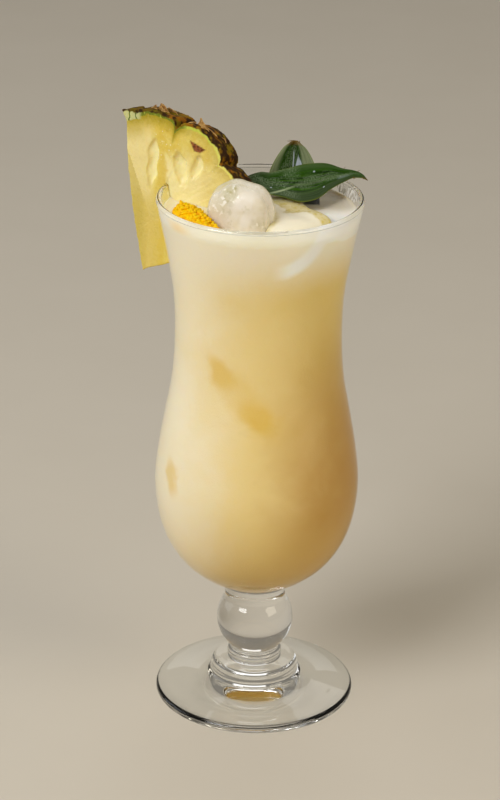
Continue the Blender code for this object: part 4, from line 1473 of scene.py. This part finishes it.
@dataclass
class DryBracts:
    """The dry flakes that stand out of the rind."""

    places: tuple[tuple[float, ...], ...] = (
        (88.5, 3.2, 4.3, 3.6, 48.0), (92.5, 2.4, 4.6, 3.8, 30.0), (96.5, 3.4, 4.8, 4.2, 8.0),
        (99.5, 0.2, 4.0, 3.6, -25.0), (112.0, 3.2, 3.6, 3.8, 35.0), (116.5, 2.6, 4.8, 3.6, 6.0),
        (120.0, 3.6, 4.4, 4.0, -22.0), (124.5, 2.2, 4.0, 4.2, -48.0), (129.0, -0.8, 3.6, 3.8, -58.0),
    )
    root: float = 1.5
    curl: float = 0.06
    thickness: float = 0.35
    crumple: float = 0.5
    columns: int = 9
    rows: int = 12

    def flake(self, wedge: PineappleWedge, values: Sequence[float]) -> list[list[Vector]]:
        """Return the middle surface of one crumpled flake.

        Args:
            wedge: the wedge that it grows on.
            values: its angle round the slice, depth, length, width and lean.

        Returns:
            Its places, row by row.
        """
        angle, depth, length, width, lean = values
        radius = wedge.radius + wedge.relief(angle, depth) - wedge.taper * (wedge.front - depth) - self.root
        foot = Vector(arc(wedge.centre, radius, angle, angle, 1)[0])
        turn = Matrix.Rotation(math.radians(angle - 90.0 + lean), 2)
        surface = []
        for row in range(self.rows):
            rise = length * row / (self.rows - 1)
            half = 0.5 * width * (1.0 - 0.86 * (rise / length) ** 1.6)
            line = []
            for column in range(self.columns):
                part = 2.0 * column / (self.columns - 1) - 1.0
                local = turn @ Vector((part * half + self.curl * rise ** 2, rise))
                fold = self.crumple * wander(Vector((part * half + angle, rise, depth)), 1.5)
                line.append(wedge.place(foot.x + local.x, foot.y + local.y,
                                        depth + fold + 0.35 * part ** 2 + self.curl * rise ** 2))
            surface.append(line)
        return surface

    def build(self, wedge: PineappleWedge, finish: bpy.types.Material) -> bpy.types.Object:
        """Make all the flakes as one piece."""
        corners: list[Vector] = []
        faces: list[Sequence[int]] = []
        _, forward = wedge.axes()
        for values in self.places:
            surface = self.flake(wedge, values)
            add_slab(corners, faces, surface, lambda row, column: forward * self.thickness * 0.5)
        return stand_for(make_object("pineapple_bracts", corners, faces, finish), "pineapple")


def add_slab(corners: list[Vector], faces: list[Sequence[int]], surface: Sequence[Sequence[Vector]],
             half: Callable[[int, int], Vector]) -> None:
    """Add a closed slab round a middle surface to a mesh's corners and faces.

    Args:
        corners: the mesh's corners so far.
        faces: the mesh's faces so far.
        surface: rows of places in the slab's middle.
        half: gives half the slab's thickness, with its direction, for a row and column.
    """
    rows, columns = len(surface), len(surface[0])
    base = len(corners)
    for sign in (1.0, -1.0):
        for row, line in enumerate(surface):
            for column, place in enumerate(line):
                corners.append(place + half(row, column) * sign)
    count = rows * columns

    def number(row: int, column: int, side: int) -> int:
        """Return a corner's number."""
        return base + side * count + row * columns + column

    for row in range(rows - 1):
        for column in range(columns - 1):
            loop = ((row, column), (row, column + 1), (row + 1, column + 1), (row + 1, column))
            faces.append([number(*spot, 0) for spot in loop])
            faces.append([number(*spot, 1) for spot in reversed(loop)])
    rim = [(0, column) for column in range(columns - 1)]
    rim += [(row, columns - 1) for row in range(rows - 1)]
    rim += [(rows - 1, column) for column in range(columns - 1, 0, -1)]
    rim += [(row, 0) for row in range(rows - 1, 0, -1)]
    for k, spot in enumerate(rim):
        after = rim[(k + 1) % len(rim)]
        faces.append([number(*spot, 0), number(*spot, 1), number(*after, 1), number(*after, 0)])


@dataclass
class IcePiece:
    """An ice piece: a box worn round, with its own turn and wear."""

    name: str
    node: str
    centre: Colour
    half: Colour
    turn: float
    lean: float
    power: float
    cuts: int = 44
    wear: float = 0.018
    dimple: float = 0.35
    core_share: float = 0.95
    core_shift: Colour = (0.3, 0.15, -0.2)
    core_dimple: float = 0.5

    def turning(self) -> Matrix:
        """Return the piece's own turn."""
        return (Matrix.Rotation(math.radians(self.turn), 3, "Z")
                @ Matrix.Rotation(math.radians(self.lean), 3, "X"))

    def body(self, name: str, finish: bpy.types.Material, shade: Callable[[Vector, Vector], Station],
             core: bool = False) -> bpy.types.Object:
        """Make the piece's body, or the cloudy core inside it.

        Args:
            name: the body's name.
            finish: its material.
            shade: gives the shares of film and of clear band for a place in the piece's own
                directions and for its place in the glass.
            core: whether it is the core.

        Returns:
            The body.
        """
        shape = bmesh.new()
        bmesh.ops.create_cube(shape, size=2.0)
        bmesh.ops.subdivide_edges(shape, edges=shape.edges, cuts=self.cuts, use_grid_fill=True)
        turning = self.turning()
        middle = Vector(self.centre) + (Vector(self.core_shift) if core else Vector())
        dimple, scale = (self.core_dimple, self.core_share) if core else (self.dimple, 1.0)
        corners, films, bands = [], [], []
        for corner in shape.verts:
            way = corner.co.normalized()
            reach = scale * sum(abs(value) ** self.power for value in way) ** (-1.0 / self.power)
            wave = math.sin(7.0 * way.x + 3.0 * way.z) + math.sin(9.0 * way.y - 2.0 * way.x)
            local = Vector([way[k] * reach * (1.0 + self.wear * wave) * self.half[k] for k in range(3)])
            local += way * dimple * (wander(local, 7.0) + 0.35 * wander(local, 2.6, 4.0))
            place = turning @ local + middle
            film, band = shade(local, place)
            corners.append(place)
            films.append(film)
            bands.append(band)
        shape.verts.index_update()
        faces = [[corner.index for corner in face.verts] for face in shape.faces]
        shape.free()
        piece = make_object(name, corners, faces, finish)
        note(piece, "film", "FLOAT", films)
        note(piece, "band", "FLOAT", bands)
        return piece

    def build(self, finish: bpy.types.Material, shade: Callable[[Vector, Vector], Station],
              clear: bpy.types.Material | None = None) -> bpy.types.Object:
        """Make the piece for its node, with a clear outside round a cloudy core where one is given."""
        if clear is None:
            return stand_for(self.body(self.name, finish, shade), "cloudy_ice", self.node)
        stand_for(self.body(self.name + "_core", finish, shade, core=True), "cloudy_ice")
        return stand_for(self.body(self.name, clear, shade), "cloudy_ice", self.node)


@dataclass
class Leaf:
    """A pineapple leaf: a channelled blade along stations of x, y, height and half width."""

    name: str
    node: str
    stations: tuple[tuple[float, float, float, float], ...]
    across: Colour
    cup: float
    spines: tuple[tuple[float, float], ...]
    pale_sides: float
    thickness: float = 0.9
    ripple: float = 0.15
    steps: int = 10
    columns: int = 41
    grooves: float = 13.0
    groove_depth: float = 0.07

    def surface(self) -> tuple[list[list[Vector]], list[Vector], list[float]]:
        """Return the blade's middle surface, its face directions and the run along it."""
        spine = smooth_through(self.stations, self.steps)
        across = Vector(self.across)
        rows, ways, runs = [], [], []
        run = 0.0
        for number, (x, y, height, half_width) in enumerate(spine):
            following = Vector(spine[min(number + 1, len(spine) - 1)][:3])
            previous = Vector(spine[max(number - 1, 0)][:3])
            face = (following - previous).normalized().cross(across).normalized()
            row = []
            for column in range(self.columns):
                part = 2.0 * column / (self.columns - 1) - 1.0
                lift = self.cup * half_width * (0.5 * part ** 2 + 0.5 * abs(part))
                lift += self.ripple * part * math.sin(2.0 * number / self.steps)
                lift += self.groove_depth * math.sin(part * self.grooves * math.pi)
                row.append(Vector((x, y, height)) + across * part * half_width + face * lift)
            rows.append(row)
            ways.append(face)
            runs.append(run)
            run += (following - Vector((x, y, height))).length
        return rows, ways, runs

    def half_at(self, ways: Sequence[Vector], row: int, column: int) -> Vector:
        """Return half the blade's thickness at a row and column, thin at its margins."""
        part = 2.0 * column / (self.columns - 1) - 1.0
        end = ease(len(ways) - 1 - row, -6.0, 14.0)
        return ways[row] * self.thickness * 0.5 * (1.0 - 0.72 * part ** 4) * end

    def spine_cone(self, corners: list[Vector], faces: list[Sequence[int]], foot: Vector,
                   outward: Vector, forward: Vector, length: float) -> int:
        """Add one curved marginal spine to a mesh.

        Args:
            corners: the mesh's corners so far.
            faces: the mesh's faces so far.
            foot: where it stands on the margin.
            outward: the direction away from the blade.
            forward: the direction to the blade's tip.
            length: its length.

        Returns:
            How many corners it took.
        """
        base = len(corners)
        side = outward.cross(forward).normalized()
        rings, facets = 5, 6
        for ring in range(rings):
            share = ring / rings
            middle = foot + outward * (length * share * 0.8 - 0.25) + forward * length * share ** 2 * 0.9
            radius = 0.34 * (1.0 - share)
            for k in range(facets):
                angle = math.tau * k / facets
                corners.append(middle + (forward * math.cos(angle) + side * math.sin(angle)) * radius)
        corners.append(foot + outward * (length * 0.8 - 0.25) + forward * length * 0.9)
        faces.append([base + k for k in range(facets)][::-1])
        for ring in range(rings - 1):
            for k in range(facets):
                after = (k + 1) % facets
                start = base + ring * facets
                faces.append([start + k, start + after, start + facets + after, start + facets + k])
        last = base + (rings - 1) * facets
        for k in range(facets):
            faces.append([last + k, last + (k + 1) % facets, base + rings * facets])
        return rings * facets + 1

    def build(self, finish: bpy.types.Material) -> bpy.types.Object:
        """Make the leaf with its grooves and its marginal spines."""
        rows, ways, runs = self.surface()
        corners: list[Vector] = []
        faces: list[Sequence[int]] = []
        add_slab(corners, faces, rows, lambda row, column: self.half_at(ways, row, column))
        marks = []
        for _ in range(2):
            for run in runs:
                for column in range(self.columns):
                    marks.append((2.0 * column / (self.columns - 1) - 1.0, run, runs[-1] - run))
        across = Vector(self.across)
        for share, side in self.spines:
            row = int(share * (len(rows) - 1))
            foot = rows[row][-1 if side > 0.0 else 0]
            forward = (rows[min(row + 1, len(rows) - 1)][0] - rows[row - 1][0]).normalized()
            added = self.spine_cone(corners, faces, foot, across * side, forward, 1.5)
            marks += [(0.0, 0.0, 0.0)] * added
        piece = make_object(self.name, corners, faces, finish)
        note(piece, "blade", "FLOAT_VECTOR", marks)
        note(piece, "side", "FLOAT", [self.pale_sides] * len(marks))
        return stand_for(piece, "green_leaf", self.node)


@dataclass
class OrangeZest:
    """The heap of zest: a low mound along the wall with loose curled shreds over it."""

    level: float = 201.3
    gap: float = 0.3
    middle_angle: float = 210.8
    half_angle: float = 28.2
    radius: float = 29.4
    half_width: float = 5.8
    height: float = 5.6
    outer_limit: float = 35.2
    mound_share: float = 0.92
    left_rise: float = 0.25
    lump_size: float = 1.4
    lump_height: float = 0.4
    shreds: int = 260
    seed: int = 11
    strip_place: Colour = (-28.8, -7.8, 205.9)
    strip_length: float = 5.4
    strip_width: float = 2.3
    strip_tilt: float = -12.0
    strip_bend: float = 0.4

    def place(self, along: float, across: float, height: float) -> Vector:
        """Return a place in the heap from its shares along and across the crescent."""
        angle = math.radians(self.middle_angle + self.half_angle * along)
        radius = min(self.radius + self.half_width * across, self.outer_limit)
        return Vector((radius * math.cos(angle), radius * math.sin(angle), height))

    def mound(self, finish: bpy.types.Material) -> bpy.types.Object:
        """Make the uneven mound under the shreds."""
        shape = bmesh.new()
        bmesh.ops.create_uvsphere(shape, u_segments=200, v_segments=110, radius=1.0)
        corners = []
        for corner in shape.verts:
            rise = self.height * self.mound_share * max(corner.co.z, -0.1)
            rise *= 1.0 - self.left_rise * corner.co.x
            place = self.place(corner.co.x * 0.95, corner.co.y * 0.92, self.level + self.gap + rise)
            distances, _ = noise.voronoi(place / self.lump_size)
            lump = self.lump_height * (0.7 - distances[0]) + 0.12 * wander(place, 0.7)
            corners.append(place + Vector((0.0, 0.0, lump * clamp(corner.co.z * 4.0))))
        shape.verts.index_update()
        loops = [[corner.index for corner in face.verts] for face in shape.faces]
        faces = sorted(from_smallest(loop) for loop in loops)
        shape.free()
        return stand_for(make_object("zest_core", corners, faces, finish), "orange_zest", "orange_zest")

    def shred(self, corners: list[Vector], faces: list[Sequence[int]], centre: Vector, turning: Matrix,
              length: float, width: float, bend: float) -> None:
        """Add one curled shred, with a flat oval section, to a mesh.

        Args:
            corners: the mesh's corners so far.
            faces: the mesh's faces so far.
            centre: the shred's middle.
            turning: its own turn.
            length: its length along the curl.
            width: its width.
            bend: how far it curls, as an angle.
        """
        rings, facets = 7, 6
        base = len(corners)
        for ring in range(rings):
            share = ring / (rings - 1) - 0.5
            angle = bend * share
            if abs(bend) < 0.05:
                middle = Vector((length * share, 0.0, 0.0))
            else:
                curve = length / bend
                middle = Vector((curve * math.sin(angle), 0.0, curve * (math.cos(angle) - 1.0) * 0.8))
            half = width * 0.5 * math.sqrt(max(0.06, 1.0 - (2.0 * share) ** 4))
            for k in range(facets):
                turn = math.tau * k / facets
                local = Vector((0.0, math.cos(turn) * half, math.sin(turn) * half * 0.75))
                local = Matrix.Rotation(angle, 3, "Y") @ local
                corners.append(turning @ (middle + local) + centre)
        for ring in range(rings - 1):
            for k in range(facets):
                start, after = base + ring * facets, (k + 1) % facets
                faces.append([start + k, start + after, start + facets + after, start + facets + k])
        faces.append([base + k for k in range(facets)][::-1])
        faces.append([base + (rings - 1) * facets + k for k in range(facets)])

    def loose_shreds(self, ice: IcePiece, finish: bpy.types.Material) -> bpy.types.Object:
        """Scatter the curled shreds over the mound, clear of the ice and the wall."""
        draw = random.Random(self.seed)
        corners: list[Vector] = []
        faces: list[Sequence[int]] = []
        for number in range(self.shreds):
            along = -0.97 + 1.94 * ((number * 0.618034) % 1.0)
            across = draw.uniform(-0.95, 0.95) * math.sqrt(1.0 - along ** 2)
            dome = math.sqrt(max(0.0, 1.0 - along ** 2 - across ** 2))
            rise = self.height * self.mound_share * dome * (1.0 - self.left_rise * along)
            rise += draw.uniform(-0.4, 0.45)
            centre = self.place(along * 0.95, across * 0.95 - 0.08, self.level + self.gap + 0.35 + rise)
            length = draw.uniform(1.2, 2.0) if number % 10 else draw.uniform(2.2, 3.2)
            width = draw.uniform(1.0, 1.5)
            if Vector(centre.xy).length + 0.4 * length > self.outer_limit:
                length = min(length, 1.8)
            if (centre - Vector(ice.centre)).length < max(ice.half[0], ice.half[1]) * 0.95:
                continue
            turning = Matrix.Rotation(draw.uniform(0.0, math.tau), 3, "Z")
            turning = turning @ Matrix.Rotation(draw.uniform(-0.7, 0.7), 3, "Y")
            turning = turning @ Matrix.Rotation(draw.uniform(-1.2, 1.2), 3, "X")
            self.shred(corners, faces, centre, turning, length, width, draw.uniform(0.1, 1.3))
        upright, tilt = math.radians(90.0), math.radians(self.strip_tilt)
        standing = Matrix.Rotation(tilt, 3, "Y") @ Matrix.Rotation(upright, 3, "Y")
        self.shred(corners, faces, Vector(self.strip_place), standing, self.strip_length,
                   self.strip_width, self.strip_bend)
        return stand_for(make_object("zest_shreds", corners, faces, finish), "orange_zest")


class Garnish(Enum):
    """The two leaves, by the way they lie."""

    LEANING = "leaf_leaning"
    UPRIGHT = "leaf_upright"


def garnish_leaf(kind: Garnish) -> Leaf:
    """Return the leaf of a kind with its sizes."""
    if kind is Garnish.LEANING:
        tilt = math.radians(18.5)
        return Leaf(
            "pineapple_leaf_leaning", kind.value,
            ((-10.5, 16.5, 201.6, 2.4), (-7.5, 15.0, 205.8, 3.0), (-4.0, 13.2, 208.6, 3.8),
             (0.0, 11.4, 208.6, 6.4), (4.0, 10.8, 208.4, 6.5), (9.0, 10.8, 208.4, 8.7),
             (15.0, 10.1, 208.5, 11.3), (21.0, 12.4, 208.8, 10.7), (26.0, 16.1, 209.4, 7.9),
             (31.0, 18.2, 209.6, 4.4), (35.0, 19.8, 209.8, 2.1), (38.5, 19.6, 209.2, 1.1),
             (40.4, 17.8, 208.3, 0.4)),
            (0.0, math.cos(tilt), math.sin(tilt)), 0.10,
            ((0.76, 1.0), (0.84, -1.0), (0.87, 1.0), (0.92, -1.0)), 0.15)
    return Leaf(
        "pineapple_leaf_upright", kind.value,
        ((12.3, 27.8, 196.5, 6.8), (12.3, 27.6, 202.0, 8.7), (12.4, 27.3, 207.5, 9.2),
         (12.5, 27.0, 211.5, 8.1), (12.6, 26.5, 215.5, 6.2), (12.7, 26.0, 218.6, 4.1),
         (12.8, 25.6, 220.0, 2.5), (12.8, 25.35, 220.8, 1.4),
         (12.8, 25.25, 221.15, 0.4)),
        (-1.0, 0.0, 0.0), 0.20,
        ((0.86, 1.0), (0.93, 1.0), (0.99, 1.0), (0.985, -1.0), (0.92, -1.0), (0.84, -1.0)), 1.0)


@dataclass
class Studio:
    """The pale floor, the soft lights and the camera at the photo's angle."""

    floor_radius: float = 3000.0
    camera_place: Colour = (0.0, -1.00388, 0.56458)
    camera_right: Colour = (0.999907, 0.008125, 0.010952)
    camera_up: Colour = (-0.013292, 0.401110, 0.915933)
    camera_ahead: Colour = (-0.003049, 0.915994, -0.401181)
    lens: float = 128.59
    shift: float = 0.0014

    def floor(self) -> None:
        """Lay a large round floor."""
        count = 96
        corners = [Vector((0.0, 0.0, -0.06))]
        for k in range(count):
            angle = math.tau * k / count
            corners.append(Vector((math.cos(angle), math.sin(angle), 0.0)) * self.floor_radius
                           + Vector((0.0, 0.0, -0.06)))
        faces = [(0, 1 + k, 1 + (k + 1) % count) for k in range(count)]
        make_object("studio_floor", corners, faces, FloorFinish().material())

    def lamp(self, name: str, place: Colour, size: float, power: float, colour: Colour) -> None:
        """Hang a square soft light that faces the drink.

        Args:
            name: its name.
            place: where it hangs, in metres.
            size: the length of its side, in metres.
            power: its power in watts.
            colour: its colour.
        """
        light = bpy.data.lights.new(name, "AREA")
        light.shape = "SQUARE"
        light.size = size
        light.energy = power
        light.color = colour
        held = bpy.data.objects.new(name, light)
        held.location = place
        held.rotation_euler = (Vector((0.0, 0.0, 0.13)) - Vector(place)).to_track_quat("-Z", "Y").to_euler()
        bpy.context.scene.collection.objects.link(held)

    def lights(self) -> None:
        """Hang the key and window lights at the left, a warm fill at the right and two above."""
        self.lamp("key_light", (-0.95, -0.95, 1.15), 0.75, 18.0, (1.0, 1.0, 1.0))
        self.lamp("window_light", (-1.5, 0.35, 0.65), 1.0, 3.5, (0.90, 0.95, 1.0))
        self.lamp("fill_light", (1.2, -0.7, 0.85), 0.9, 9.2, (1.0, 0.91, 0.73))
        self.lamp("top_light", (-0.35, -0.35, 1.5), 0.5, 1.8, (1.0, 1.0, 1.0))
        self.lamp("back_light", (0.1, 1.15, 1.2), 0.8, 2.2, (1.0, 0.99, 0.97))
        world = bpy.data.worlds.new("studio")
        world.use_nodes = True
        world.node_tree.nodes["Background"].inputs["Color"].default_value = (1.0, 0.92, 0.78, 1.0)
        world.node_tree.nodes["Background"].inputs["Strength"].default_value = 0.2
        bpy.context.scene.world = world

    def camera(self) -> None:
        """Put the camera where the photo was taken from."""
        data = bpy.data.cameras.new("camera")
        data.lens = self.lens
        data.shift_x = self.shift
        held = bpy.data.objects.new("camera", data)
        right, up, ahead = Vector(self.camera_right), Vector(self.camera_up), Vector(self.camera_ahead)
        turning = Matrix((right, up, -ahead)).transposed().to_4x4()
        held.matrix_world = Matrix.Translation(Vector(self.camera_place)) @ turning
        bpy.context.scene.collection.objects.link(held)
        bpy.context.scene.camera = held

    def build(self) -> None:
        """Set up the whole studio."""
        self.floor()
        self.lights()
        self.camera()
        bpy.context.scene.view_settings.view_transform = "Standard"


def front_ice_shade(local: Vector, place: Vector) -> Station:
    """Return the shares of film and of clear band on the front ice, clearer in two small places and at the
    left, with a painted tint of the wedge seen through its top.
    """
    band = 0.0
    for spot, strength, full, end in (((-10.0, -18.6, 214.6), 1.0, 1.8, 4.4),
                                      ((-1.2, -22.0, 205.0), 0.7, 1.5, 3.8)):
        away = (place - Vector(spot)).length + wander(place, 1.5)
        band += strength * (1.0 - ease(away, full, end))
    band += 0.3 * ease(-place.x + 3.0 * wander(place, 5.0), 9.5, 14.0)
    # A painted tint of the wedge behind, seen through the top.
    band += 0.2 * ease(place.z, 214.5, 217.5)
    return 0.0, clamp(band)


def right_ice_shade(local: Vector, place: Vector) -> Station:
    """Return the shares of film and of clear band on the large ice.

    The clear band runs along the back edge of its white top, with a tongue into it, and painted shade lies
    beside the front ice.
    """
    border = 2.5 + 4.8 * ease(-local.y, 1.5, 6.0) - 3.5 * math.exp(-((local.y + 2.5) / 1.8) ** 2)
    band = ease(local.x + 0.9 * wander(local, 3.0), border - 0.3, border + 0.4)
    # Painted shade where the large ice lies beside the front ice.
    beside = 1.0 - ease((place.xy - Vector((-6.9, -14.7))).length, 13.0, 15.0)
    band = max(band, 0.6 * beside)
    return 1.0 - band, band


def build_drink() -> None:
    """Build every piece of the drink in order, and report each."""
    studio = Studio()
    studio.build()
    glass = HurricaneGlass()
    LOG.info("glass: %s", glass.build(ClearGlass().material()).name)
    LOG.info("drink: %s", Drink().build(glass, CreamDrink().material()).name)
    LOG.info("foam: %s", FoamStreaks().build(glass, FoamStreakFinish().material()).name)
    wedge = PineappleWedge()
    LOG.info("wedge: %s", wedge.build(glass, PineappleFinish().material()).name)
    LOG.info("bracts: %s", DryBracts().build(wedge, DryBractFinish().material()).name)
    front_ice = IcePiece("ice_front_lump", "ice_front", centre=(-6.9, -14.7, 205.4),
                         half=(12.2, 9.6, 13.0), turn=-30.0, lean=0.0, power=2.5)
    front_finish = IceFinish("cloudy_ice_front", milk=photo_colour(232, 225, 215),
                             milk_dark=photo_colour(222, 212, 190), film=photo_colour(246, 237, 212),
                             vein=photo_colour(182, 174, 132), film_level=200.5, film_run=4.0,
                             roughness=0.5, coat=0.0, glint_share=0.8)
    front_piece = front_ice.build(front_finish.material(), front_ice_shade, ClearIce().material())
    LOG.info("ice: %s", front_piece.name)
    right_ice = IcePiece("ice_right_block", "ice_right", centre=(7.6, -7.0, 192.4),
                         half=(13.6, 18.0, 12.4), turn=34.0, lean=1.0, power=7.5)
    right_finish = IceFinish("cloudy_ice_right", milk=photo_colour(236, 226, 198),
                             milk_dark=photo_colour(228, 216, 182), film=photo_colour(245, 235, 210),
                             vein=photo_colour(208, 188, 100), film_level=200.5, film_run=2.0,
                             roughness=0.42, coat=0.15, glint_share=0.15)
    LOG.info("ice: %s", right_ice.build(right_finish.material(), right_ice_shade).name)
    leaf_finish = LeafFinish().material()
    for kind in Garnish:
        LOG.info("leaf: %s", garnish_leaf(kind).build(leaf_finish).name)
    zest = OrangeZest()
    zest_finish = ZestFinish().material()
    LOG.info("zest: %s", zest.mound(zest_finish).name)
    LOG.info("zest: %s", zest.loose_shreds(front_ice, zest_finish).name)


def main() -> None:
    """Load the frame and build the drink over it."""
    logging.basicConfig(level=logging.INFO, format="%(message)s")
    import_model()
    build_drink()
    bpy.context.view_layer.update()


if __name__ == "__main__":
    main()
